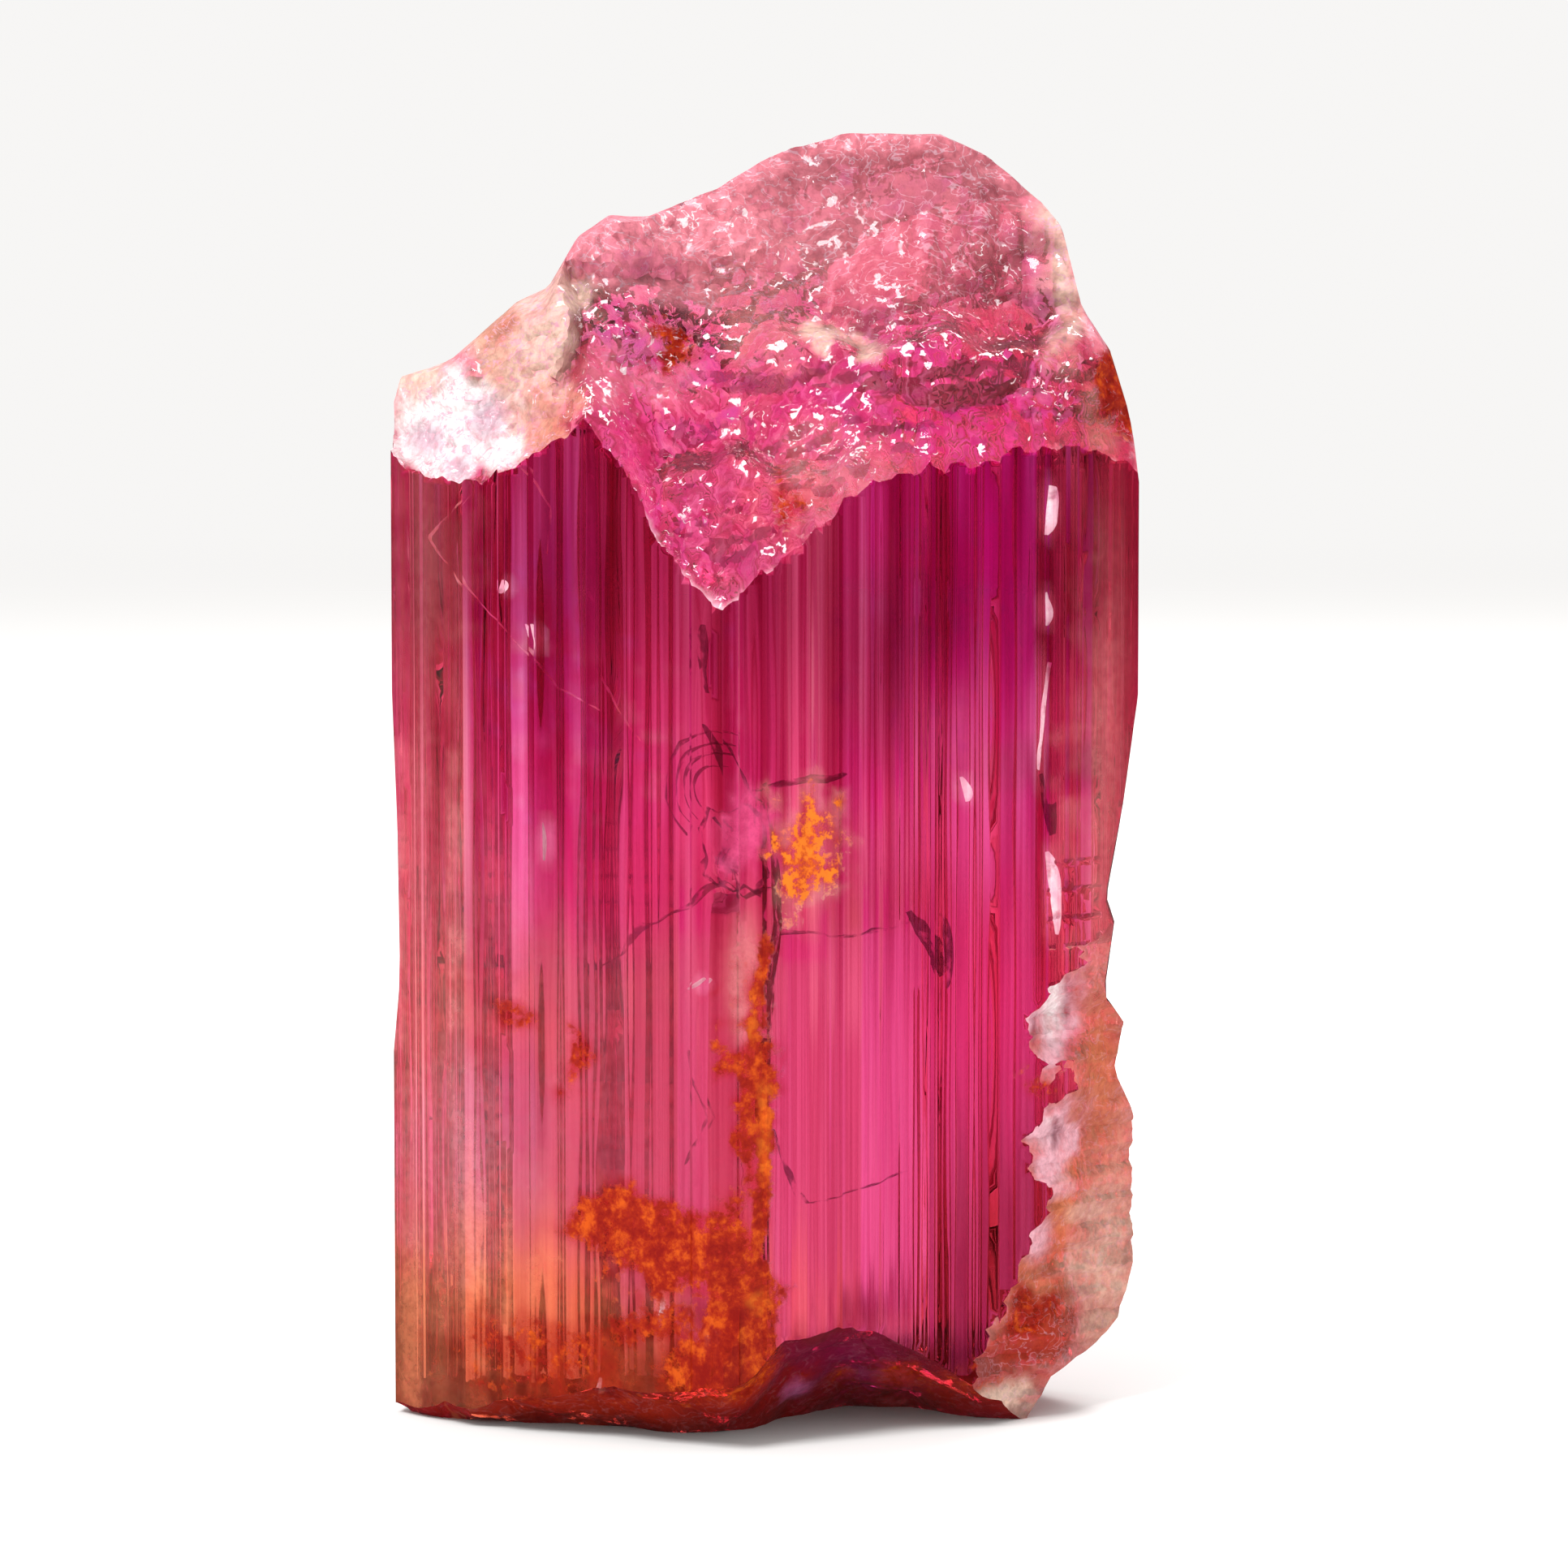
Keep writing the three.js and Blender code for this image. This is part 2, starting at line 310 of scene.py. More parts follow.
def footBreak(x, y):
    # height z of the underside: below 0 it leaves the flat cleavage as it is
    fromFront = frontFace(x) + along(footChip, x) - y
    fromBack = y - (backFace(x) - 0.9)
    rough = bowls(x, y, 1.1, 0.34, 93) + bowls(x, y, 0.5, 0.1, 251)
    return np.maximum(fromFront * 0.6, fromBack * 0.7) - 0.14 + rough


def sliverScar(x, z):
    crinkle = bowls(x, z, 0.5, 0.2, 401) * ramp(12.9, 13.4, z)
    return frontEdge[1] + along(sliver, z) + sliverSlope * (x - frontEdge[0]) - crinkle


def rightSide(y, z):
    return along(rightReach, z) + 0.05 * np.sin(y * 3)


def leftSide(y, z):
    return along(leftReach, z)


def growthLines():
    # the section as points, each with its way inwards and how its growth line runs with height
    rows = []
    for (start, count, seed), end in zip(section, sectionCorners[1:] + sectionCorners[:1]):
        a, b = np.array(start), np.array(end)
        length = np.linalg.norm(b - a)
        inward = np.array((a[1] - b[1], b[0] - a[0])) / length
        widths = 0.35 + chance(seed + np.arange(count))
        reached = 0.0
        for i, width in enumerate(widths):
            inset = crystal["ledge"] * chance(seed + i + 0.5)
            low, high = reached / widths.sum(), (reached + width - 0.08) / widths.sum()
            reached += width
            lines = max(1, round((high - low) * length / crystal["fineWidth"]))
            steps = np.arange(lines + 1)
            uneven = 0.6 * (chance(seed * 3 + i + steps) - 0.5) * (steps % lines > 0)
            cuts = low + (high - low) * (steps + uneven) / lines
            for j in range(lines):
                n = seed * 5.3 + i * 1.7 + j * 0.37
                fine = inset + crystal["fineDepth"] * chance(n)
                gap = 0.1 * (cuts[j + 1] - cuts[j])
                for at in (cuts[j], cuts[j + 1] - gap):
                    rows.append((*(a + (b - a) * at), *inward, fine, chance(n + 0.3), chance(n + 0.6)))
    return np.array(rows)


def addPrism():
    # a grid rolled round the section, closed at both ends
    lines = growthLines()
    count = len(lines)
    piece, around, up = addGrid(count, crystal["rows"])
    column = np.rint(around * count).astype(int) % count
    z = up * crystal["blank"]
    baseX, baseY, inX, inY, inset, first, second = lines[column].T
    swing = np.sin(z / (1.6 + 3.2 * first) + 6.28 * second) * np.sin(z / 2.3 + 20 * first)
    inset = inset + crystal["sway"] * swing
    setPoints(piece, np.stack((baseX + inX * inset, baseY + inY * inset, z), axis=1))
    edit(piece, (bpy.ops.mesh.remove_doubles, {"threshold": 1e-5}), (fillEnds, {}), turnOut)
    return piece


# which of across, up and depth becomes x, y and z
frontOn, fromAbove, sideOn = (0, 2, 1), (0, 1, 2), (2, 0, 1)


def addBreaker(across, up, away, relief, order, cell):
    # a sheet with the shape of the break on it, thickened away from the crystal
    wide, high = across[1] - across[0], up[1] - up[0]
    piece, run, climb = addGrid(round(wide / cell), round(high / cell))
    u = across[0] + run * wide
    v = up[0] + climb * high
    inside = (abs(run - 0.5) < 0.4995) & (abs(climb - 0.5) < 0.4995)
    n = u * 3.1 + v * 5.3
    u = u + inside * cell * 0.6 * (chance(n) - 0.5)
    v = v + inside * cell * 0.6 * (chance(n + 0.5) - 0.5)
    setPoints(piece, np.stack((u, v, relief(u, v)), axis=1)[:, order])
    thicken(piece, away)
    return piece


def breakOff(piece, tool, mark):
    # what the tool leaves is marked by material
    for polygon in tool.data.polygons:
        polygon.material_index = marks[mark]
    onlyThis(piece)
    cut = piece.modifiers.new("break", "BOOLEAN")
    cut.operation = "DIFFERENCE"
    cut.solver = "MANIFOLD"
    cut.object = tool
    bpy.ops.object.modifier_apply(modifier=cut.name)
    bpy.data.objects.remove(tool)


def buildCrystal():
    piece = addPrism()
    piece.name = "topaz_body"
    for _ in marks:
        piece.data.materials.append(None)
    wide, deep = (-10.6, 10.6), (-7.3, 7.3)
    far = 20  # the thickness of a breaker
    fine = crystal["breakCell"]
    breakers = [
        (wide, (17.5, 36), (0, -far, 0), topBreakFront, frontOn, fine, "top"),
        (wide, deep, (0, 0, 30), topBreakCrest, fromAbove, fine, "top"),
        ((3.4, 10.6), (-1.5, 15), (0, -far, 0), sideBreak, frontOn, fine, "side"),
        (deep, (-2, 36), (far, 0, 0), rightSide, sideOn, 0.3, "edge"),
        (deep, (-2, 36), (-far, 0, 0), leftSide, sideOn, 0.6, "face"),
        (wide, deep, (0, 0, -far), footBreak, fromAbove, 0.26, "foot"),
        ((-2.6, 1.4), (1, 17), (0, -far, 0), sliverScar, frontOn, 0.12, "face"),
    ]
    for across, up, away, relief, order, cell, mark in breakers:
        breakOff(piece, addBreaker(across, up, away, relief, order, cell), mark)
        print("  broken off:", relief.__name__, len(piece.data.polygons), "faces")
    return piece


# what light keeps of its colour on the way in and out, and the colours of what lies on the surface
paints = {
    "rose": (0.53, 0.125, 0.17),
    "crimson": (0.62, 0.03, 0.19),
    "violet": (0.56, 0.07, 0.42),
    "magenta": (0.76, 0.014, 0.39),
    "wine": (0.3, 0.02, 0.09),
    "strip": (0.78, 0.3, 0.36),
    "vivid": (0.69, 0.15, 0.38),
    "plum": (0.3, 0.024, 0.085),
    "salmon": (0.95, 0.58, 0.46),
    "dusk": (0.66, 0.2, 0.22),
    "amber": (0.84, 0.3, 0.1),
    "baseShadeRed": (0.07, 0.0004, 0.0005),
    "fuchsia": (0.74, 0.055, 0.26),
    "blush": (0.88, 0.28, 0.36),
    "dusty": (0.58, 0.15, 0.26),
    "coral": (0.88, 0.17, 0.09),
    "lilac": (0.76, 0.36, 0.46),
    "white": (0.97, 0.9, 0.9),
    "pearl": (0.9, 0.6, 0.7),
    "peach": (0.8, 0.38, 0.24),
    "apricot": (0.66, 0.18, 0.05),
    "cream": (0.92, 0.66, 0.52),
    "milk": (0.64, 0.155, 0.2),
    "ember": (0.25, 0.004, 0.0012),
    "rust": (0.38, 0.017, 0.001),
    "orange": (0.64, 0.085, 0.003),
    "gold": (0.88, 0.2, 0.01),
    "smoke": (0.2, 0.06, 0.09),
    "plumSmoke": (0.17, 0.03, 0.1),
    "claret": (0.2, 0.0008, 0.035),
    "carmine": (0.5, 0.005, 0.13),
    "baseShadeDark": (0.05, 0.0006, 0.02),
    "flesh": (0.82, 0.33, 0.31),
    "honey": (0.88, 0.26, 0.11),
    "shell": (0.9, 0.27, 0.34),
    "bloom": (0.88, 0.11, 0.29),
    "petal": (0.9, 0.5, 0.6),
    "crackleShade": (0.46, 0.3, 0.4),
}
# upright panels of colour: paint, from x, to x, from z, to z, softness across and up, strength
panels = [
    ("crimson", -7.2, -1.1, 12.6, 26, 0.5, 1.6, 1),
    ("strip", -1, 1.83, 12.4, 23, 0.05, 0.8, 1),
    ("magenta", 1.83, 7.1, 12.9, 25, 0.05, 1.3, 1),
    ("plum", 4.1, 7.1, -1, 12.8, 0.1, 1.2, 1),
    ("vivid", 0.15, 4.1, 2.2, 12.3, 0.05, 0.3, 1),
    ("salmon", -9.4, -7.3, -1, 27, 0.3, 1, 0.9),
    ("dusk", 7, 9.4, 10, 27, 0.2, 1, 0.9),
    ("claret", 6.1, 8.2, 18.8, 25, 0.4, 1.4, 0.8),
    ("wine", -6.05, -5, 1, 10.5, 0.25, 2, 0.7),
    ("crimson", -6.9, -5.5, 1, 23, 0.3, 1.5, 0.55),
    ("salmon", 2.8, 3.2, 13.2, 21.5, 0.05, 1, 0.5),
    ("cream", -8.25, -8.05, 1, 12.5, 0.06, 1.5, 0.45),
    ("cream", -8.2, -8.05, 20.3, 22.6, 0.05, 0.4, 0.8),
    ("cream", -7, -6.8, 0.8, 6.5, 0.06, 1.5, 0.4),
    ("cream", -5.9, -5.75, 0.8, 5.5, 0.06, 1.5, 0.4),
    ("magenta", 0.35, 1.5, 11.6, 12.9, 0.05, 0.1, 0.7),
    ("rose", 1.1, 1.4, 2.4, 11.5, 0.1, 1.5, 0.4),
    ("rose", 2.5, 2.7, 2.4, 9.5, 0.08, 1.5, 0.35),
    ("vivid", 3.35, 4.05, 12.6, 17.8, 0.06, 0.7, 0.7),
    ("wine", 4.02, 4.18, 10.6, 18.5, 0.04, 0.8, 0.35),
    # painted shade: the two rows below darken the bottom of the faces, where the crystal mirrors its base
    # from inside
    ("baseShadeRed", -6.4, 6.6, -1, 1, 1.2, 0.7, 0.95),
    ("baseShadeDark", 0.2, 4.2, 0.7, 1.5, 0.3, 0.3, 0.9),
    ("wine", 4.3, 9.3, 15.5, 16.6, 0.5, 0.3, 0.85),
]
# soft ovals of colour on the faces: paint, middle as x and z, half width and height, softness, strength
ovals = [
    ("crimson", -4.8, 16, 1.8, 3.2, 0.5, 0.6),
    ("violet", -4.7, 20.6, 0.6, 2.3, 0.5, 0.8),
    ("violet", -5.3, 13.8, 0.6, 1.5, 0.7, 0.5),
    ("lilac", -6.5, 13.2, 1.2, 1.2, 0.8, 0.25),
    ("wine", 2.6, 18.4, 0.6, 2, 0.8, 0.6),
    ("violet", 3.6, 19.6, 1.4, 1.3, 0.8, 0.35),
    ("amber", -7.6, 2.2, 4.6, 3.2, 0.6, 0.9),
    ("lilac", -7.6, 6.6, 1.8, 1.7, 0.8, 0.65),
    ("wine", -5.5, 7.2, 0.5, 3.6, 0.6, 0.6),
    ("coral", -7.9, 9.9, 1, 1.5, 0.8, 0.4),
    ("coral", -5.6, 9.6, 1.5, 1, 0.8, 0.3),
    ("vivid", -0.75, 14.7, 0.6, 1.3, 0.3, 0.8),
    ("vivid", 5.2, 15.2, 1.6, 2.6, 0.8, 0.45),
    ("crimson", -2.6, 8, 2.2, 4, 0.8, 0.25),
    ("salmon", 1, 14.2, 0.8, 1.5, 0.4, 0.95),
    ("amber", -3.6, 2.4, 2.6, 1.6, 0.8, 0.8),
    ("vivid", 0.7, 1, 0.35, 0.35, 0.6, 1),
    ("crimson", 5.8, 1, 1.2, 0.9, 0.8, 0.7),
    ("salmon", 8.4, 13, 0.7, 2.6, 0.8, 0.6),
    ("salmon", 8.6, 17.5, 0.6, 2.8, 0.6, 0.8),
    ("salmon", -7.6, 17.2, 0.7, 3, 0.7, 0.45),
    ("carmine", -4.9, 16.9, 1.2, 1.9, 0.6, 0.8),
    ("vivid", 4.2, 16.9, 1.6, 1.3, 0.7, 0.75),
    ("vivid", 3.6, 13.2, 2.2, 1.2, 0.7, 0.7),
    ("fuchsia", 5.3, 11, 1.5, 3.4, 0.7, 0.8),
    ("salmon", -0.5, 11.2, 0.5, 1.6, 0.6, 0.6),
    ("claret", 1.4, 2.4, 1.5, 0.8, 0.6, 0.85),
]
# the same on the breaks
breakOvals = [
    ("dusty", -3.9, 27.4, 1.4, 1.9, 0.6, 0.9),
    ("blush", -1.4, 28.4, 1.8, 1.4, 0.7, 0.6),
    ("blush", 3.6, 30, 3.6, 2.2, 0.6, 0.9),
    ("violet", -3.6, 26, 0.7, 1.7, 0.6, 0.55),
    ("fuchsia", 5.2, 25.6, 2, 1.5, 0.8, 0.8),
    ("violet", 7.2, 26.8, 0.6, 1.6, 0.8, 0.6),
    ("magenta", -2.6, 23.6, 1.4, 1.4, 0.8, 0.6),
    ("crimson", -1.2, 22.2, 1.9, 2, 0.8, 1),
    ("coral", 0.6, 22.4, 0.9, 1.5, 0.7, 0.8),
    ("coral", -0.2, 26.8, 0.8, 1.8, 0.9, 0.3),
    ("dusk", 7.6, 26, 0.9, 2.4, 0.6, 0.6),
    ("cream", -7, 25, 2.1, 2.6, 0.3, 0.9),
]
# pale skins: paint, middle, half width and height, softness, cover
breakSkins = [
    ("milk", 3.4, 29.6, 4, 2.8, 0.5, 0.5),
    ("shell", -1.2, 29.2, 2.8, 1.6, 0.8, 0.72),
    ("shell", -3.8, 28.6, 1.4, 1.1, 0.8, 0.65),
    ("shell", -3.1, 25.4, 1.2, 0.6, 0.8, 0.4),
    ("flesh", 0.2, 27, 1.2, 1.2, 0.8, 0.3),
    ("flesh", 1.6, 23.2, 1.6, 1.1, 0.8, 0.3),
    ("cream", 7.3, 28.4, 0.6, 2.4, 0.6, 0.6),
    ("cream", -5.8, 26.4, 1.5, 1.9, 0.3, 0.6),
    ("peach", -6.6, 26.7, 0.6, 0.9, 0.7, 0.6),
    ("white", -7.4, 24.2, 1.7, 1.3, 0.25, 0.8),
    # painted shade: grey-mauve spots in the crackle of the white chip
    ("crackleShade", -8.2, 24, 0.5, 0.35, 0.8, 0.7),
    ("crackleShade", -6.7, 24.5, 0.45, 0.5, 0.8, 0.7),
    ("crackleShade", -7.4, 23.3, 0.35, 0.3, 0.8, 0.7),
    ("cream", -8.7, 25.6, 0.7, 0.8, 0.4, 0.8),
    ("peach", -5.3, 24.4, 0.8, 1, 0.4, 0.5),
    ("cream", 1.6, 26.3, 0.9, 0.3, 0.5, 0.7),
    ("peach", 8.2, 24.6, 0.5, 1, 0.7, 0.3),
]
faceSkins = [
    ("flesh", -8.3, 9.5, 0.95, 8, 0.5, 0.32),
    ("flesh", -8.3, 20, 0.95, 4.5, 0.8, 0.12),
    ("flesh", -6.6, 9, 1.6, 4.5, 0.9, 0.1),
    ("flesh", 8.5, 15.5, 0.8, 5, 0.8, 0.35),
    ("honey", -7.4, 2.2, 2.8, 3.8, 0.7, 0.58),
    ("lilac", -7.4, 6.2, 1.5, 2, 0.8, 0.34),
    ("rust", -4.3, 1.5, 2.8, 1.5, 0.8, 0.8),
    ("flesh", 0.95, 14.6, 0.9, 1.2, 0.3, 0.6),
    ("bloom", -0.7, 14.8, 0.55, 1.2, 0.5, 0.5),
    ("flesh", -0.5, 11.2, 0.4, 1.5, 0.6, 0.4),
    ("cream", 1, 13.4, 0.7, 0.6, 0.6, 0.5),
    ("ember", -2.6, 0.1, 4.8, 1.1, 0.6, 0.8),
    ("ember", 3.6, 0.4, 3.2, 0.7, 0.7, 0.6),
]
sideSkins = [
    ("flesh", 7.2, 5, 3.5, 8.5, 0.3, 0.45),
    ("peach", 8.5, 5, 0.7, 5.5, 0.6, 0.5),
    ("apricot", 6.3, 3, 0.9, 1.8, 0.8, 0.6),
    ("apricot", 8.2, 8.6, 0.5, 1.8, 0.8, 0.65),
    ("apricot", 7.3, 5.4, 0.45, 1.7, 0.8, 0.75),
    ("cream", 8.3, 3.6, 0.7, 1.6, 0.7, 0.55),
    ("petal", 6.9, 10, 0.6, 1.1, 0.4, 0.8),
    # painted highlights: the two white patches on the side break
    ("white", 7, 10.2, 0.25, 0.8, 0.6, 0.85),
    ("white", 6.9, 7.2, 0.3, 0.4, 0.6, 0.8),
    ("petal", 6.9, 6.8, 0.7, 1.1, 0.4, 0.8),
    ("petal", 6.6, 4.6, 0.35, 0.6, 0.5, 0.75),
    ("cream", 5.4, 0.4, 1, 0.6, 0.5, 0.8),
    ("rust", 6.1, 1.7, 1.1, 0.7, 0.7, 0.85),
    ("smoke", 7.08, 7.1, 0.14, 0.4, 0.4, 0.8),
    ("smoke", 6.5, 9.7, 0.1, 0.4, 0.4, 0.6),
    ("smoke", 7.3, 10.3, 0.08, 0.6, 0.4, 0.5),
]
footSkins = [
    ("ember", -1.5, 0, 9, 1.8, 0.6, 0.95),
    ("claret", 1.6, 1.9, 1.6, 0.6, 0.6, 0.8),
    ("rust", -4.4, 0.4, 2.6, 0.5, 0.8, 0.6),
    ("rust", 4.2, 0.5, 1.2, 0.5, 0.8, 0.6),
    ("vivid", 0.75, 0.9, 0.3, 0.25, 0.6, 0.8),
]
# where rust sits: middle, half width and height, thickness
rusts = [
    (-3.4, 5.4, 1.3, 0.8, 0.92),
    (-2.2, 4.6, 1.8, 0.9, 0.93),
    (-1.1, 4.2, 0.9, 1.5, 0.92),
    (-3, 3, 1.4, 0.6, 0.75),
    (-0.7, 3.4, 0.9, 2.6, 0.92),
    (-0.4, 8.6, 0.6, 3.4, 0.75),
    (-1.2, 1.9, 1.6, 1, 0.88),
    (-5.6, 2.2, 2.4, 1.2, 0.62),
    (-8, 1.6, 1.8, 1.4, 0.42),
    (-6.2, 10.3, 0.9, 0.5, 0.62),
    (-4.7, 8.9, 0.5, 1, 0.68),
    (0.95, 14.2, 0.95, 1.6, 0.86),
    (-4.2, 0.7, 4.8, 1, 0.66),
    (3.6, 0.6, 3, 0.9, 0.7),
    (6.3, 2.6, 0.9, 0.6, 0.7),
    (7.7, 9.6, 0.7, 1.1, 0.5),
    (6.9, 8.4, 0.9, 0.4, 0.55),
    (7.9, 6.6, 0.7, 0.6, 0.42),
    (-2.3, 26.4, 0.6, 0.7, 0.8),
    (8.8, 25.3, 0.6, 1.4, 0.9),
    (0.4, 22.6, 0.7, 1.1, 0.62),
    (-6.4, 26.6, 0.5, 0.6, 0.45),
]
# clusters of painted glints on the top, bright facets painted as highlights: middle, half width and height,
# thickness
paintedGlintClusters = [
    (-1.7, 29.6, 0.8, 0.6, 0.42),
    (0.4, 28.2, 0.6, 0.5, 0.42),
    (1.6, 26.2, 1.2, 0.5, 0.22),
    (0.1, 24.8, 0.9, 0.3, 0.36),
    (1.8, 23.9, 1.9, 0.3, 0.38),
    (6.7, 25.1, 0.6, 0.6, 0.4),
    (5.7, 28.3, 1, 0.8, 0.2),
    (2.3, 24.7, 0.9, 0.5, 0.18),
    (-4, 24.9, 0.9, 0.5, 0.32),
    (3.9, 26.9, 2.2, 1, 0.17),
    (-3.6, 26.5, 1.3, 1.4, 0.17),
    (-7.4, 24, 1.6, 1.1, 0.23),
    (-2.4, 22.4, 1, 1.2, 0.1),
]
# bright leaves just under the faces, thin voids painted pale and glowing as a painted reflection: middle,
# lean, width, height, strength
voidReflections = [
    ((6.72, 22.3), 0.12, 0.22, 1.2, 1),
    ((6.7, 19.9), 0, 0.1, 0.8, 0.8),
    ((6.66, 17.3), 0.3, -0.16, 2.6, 0.9),
    ((6.82, 13), -0.2, 0.26, 2, 0.9),
    ((4.72, 15.6), -0.15, 0.16, 0.6, 0.8),
    ((-6.3, 20.5), 0.1, 0.3, 0.3, 1),
    ((-5.6, 19.3), -0.15, 0.16, 0.6, 0.9),
    ((-5.3, 14.4), 0, 0.08, 0.9, 0.5),
    ((-2.5, 3.3), 0.05, 0.12, 0.5, 0.7),
    ((-1.4, 2.7), -0.05, 0.16, 0.4, 0.8),
    ((-4, 1.3), 0.1, 0.14, 0.4, 0.8),
    ((-1.6, 11.2), 0.4, 0.2, 0.3, 0.7),
]
# growth lines: fineness across and along, how much light each colour loses
darkLines = [
    (1.3, 0.05, (0.35, 0.75, 0.55)),
    (2.6, 0.07, (0.3, 0.7, 0.5)),
    (4.7, 0.1, (0.25, 0.6, 0.45)),
]
paleLines = [(3.9, 0.06), (5.9, 0.12)]
lineEdge = (0.5, 0.75)
# blotches in the zones: paint, fineness and seeds of two clouds, middle, half width and height, from, to,
# strength
blotches = [
    ("violet", (2.4, 1.9, 67), (4.6, 3.8, 69), 3.6, 19.2, 2.4, 3.6, 0.2, 0.5, 0.8),
    ("violet", (2.1, 1.2, 79), (4.2, 2.6, 81), -4.8, 18.6, 2.4, 4.2, 0.2, 0.5, 0.6),
    ("lilac", (1.1, 5, 83), (3, 2, 85), -4, 17.4, 2.6, 3.6, 0.3, 0.6, 0.4),
]
# single places on the faces: middle, half width and height, softness
darkZone = (2.6, 18.6, 0.9, 2.2, 0.6)
brightClouds = (5, 15.4, 1.9, 3.2, 0.6)
fewerLines = (4, 15.6, 1.6, 2.6, 0.6)
haze = (-5.5, 7, 4.5, 9, 0.6)
freshRust = (0.95, 14.2, 1.2, 2, 0.4)


def toward(layer, paint, amount):
    # moves each point's colour towards a paint
    layer += (np.array(paints[paint]) - layer) * amount[:, None]


def lay(skin, cover, paint, amount):
    # one more skin over those that are there already
    under = (1 - amount) * cover
    toward(skin, paint, amount / np.maximum(amount + under, 1e-6))
    np.maximum(cover, amount, out=cover)


def addLayer(mesh, name, kind, field, values):
    layer = mesh.attributes.new(name, kind, "CORNER")
    layer.data.foreach_set(field, np.ascontiguousarray(values, dtype=np.float32).ravel())


class Corners:
    # where the corner of each facet is, in millimetres, with uneven copies, and which break it is on
    def __init__(self, piece, corners, breaks):
        x, y, z = 1000 * points(piece)[corners].T
        self.x, self.y, self.z = x, y, z
        self.face, self.top, self.side, self.foot = (
            (breaks == marks[mark]).astype(float) for mark in ("face", "top", "side", "foot")
        )
        self.broken = self.top + 0.6 * self.side + 0.3 * self.foot
        self.side = self.side * ramp(12.6, 11.4, z)
        self.front = np.where(self.top > 0, ramp(3.5, 1.5, y), ramp(1.0, -1.5, y))
        self.softX = x + 0.7 * (cloud(x * 0.6, z * 0.15, 11) - 0.5)
        streaks = 1.6 * (cloud(x * 4 + y, 0.3 * z, 29) - 0.5)
        self.softZ = z + 2.4 * (cloud(x * 0.9, z * 0.3, 23) - 0.5) + streaks
        self.raggedX = x + self.ragged(31)
        self.raggedZ = z + self.ragged(35)

    def ragged(self, seed):
        broad = 0.9 * (cloud(self.x * 1.6, self.z * 1.6, seed) - 0.5)
        return broad + 0.5 * (cloud(self.x * 4.1, self.z * 3.7, seed + 2) - 0.5)


def zoneTint(at):
    # the zones of the clear crystal
    x, z = at.x, at.z
    tint = np.tile(np.array(paints["rose"]), (len(x), 1))
    for paint, fromX, toX, fromZ, toZ, softX, softZ, strength in panels:
        across = pane(fromX, toX, softX, x if softX < 0.15 else at.softX)
        up = pane(fromZ, toZ, softZ, z if softZ < 0.5 else at.softZ)
        toward(tint, paint, across * up * strength)
    for paint, *oval, strength in ovals:
        toward(tint, paint, spot(at.softX, at.softZ, *oval) * strength)
    for paint, broad, fine, *oval, low, high, strength in blotches:
        blotch = cloud(x * broad[0], z * broad[1], broad[2]) * cloud(x * fine[0], z * fine[1], fine[2])
        toward(tint, paint, ramp(low, high, blotch * spot(x, z, *oval, 0.6)) * strength)
    clouds = ramp(0.35, 0.6, cloud(x * 2.6, z * 0.7, 87))
    toward(tint, "vivid", clouds * 0.5 * spot(x, z, *brightClouds))
    toward(tint, "wine", 0.5 * spot(x, z, *darkZone))
    return tint


def addGrowthBands(tint, at):
    x, y, z = at.x, at.y, at.z
    strong = at.face * (0.35 + 0.85 * ramp(9, 16, z)) * (1 - 0.7 * spot(x, z, *fewerLines))
    for n, (across, up, loss) in enumerate(darkLines):
        band = ramp(*lineEdge, cloud(x * across + 0.3 * y, z * up, 40 + n)) * strong
        tint *= 1 - band[:, None] * np.array(loss)
    for n, (across, up) in enumerate(paleLines):
        band = ramp(*lineEdge, cloud(x * across - 0.3 * y, z * up, 50 + n)) * strong
        tint += (tint**0.55 - tint) * 0.6 * band[:, None]


def topTint(at):
    # the broken top: its ovals of colour, mottled in three sizes
    x, y, z = at.x, at.y, at.z
    tint = np.tile(np.array(paints["fuchsia"]), (len(x), 1))
    for paint, *oval, strength in breakOvals:
        toward(tint, paint, spot(at.raggedX, at.raggedZ, *oval) * strength)
    mottle = ramp(0.35, 0.7, cloud(x * 1.1 + z * 0.4, z * 1.3 - x * 0.3, 61))
    toward(tint, "dusty", 0.45 * mottle)
    mottle = ramp(0.45, 0.75, cloud(x * 2.3 + y, z * 2.6, 63))
    toward(tint, "violet", 0.55 * mottle * ramp(-5.2, -4.4, x))
    mottle = ramp(0.5, 0.8, cloud(x * 2.9 + 5, z * 3.1 + y, 65))
    toward(tint, "blush", 0.7 * mottle * ramp(21.5, 24, z))
    return tint


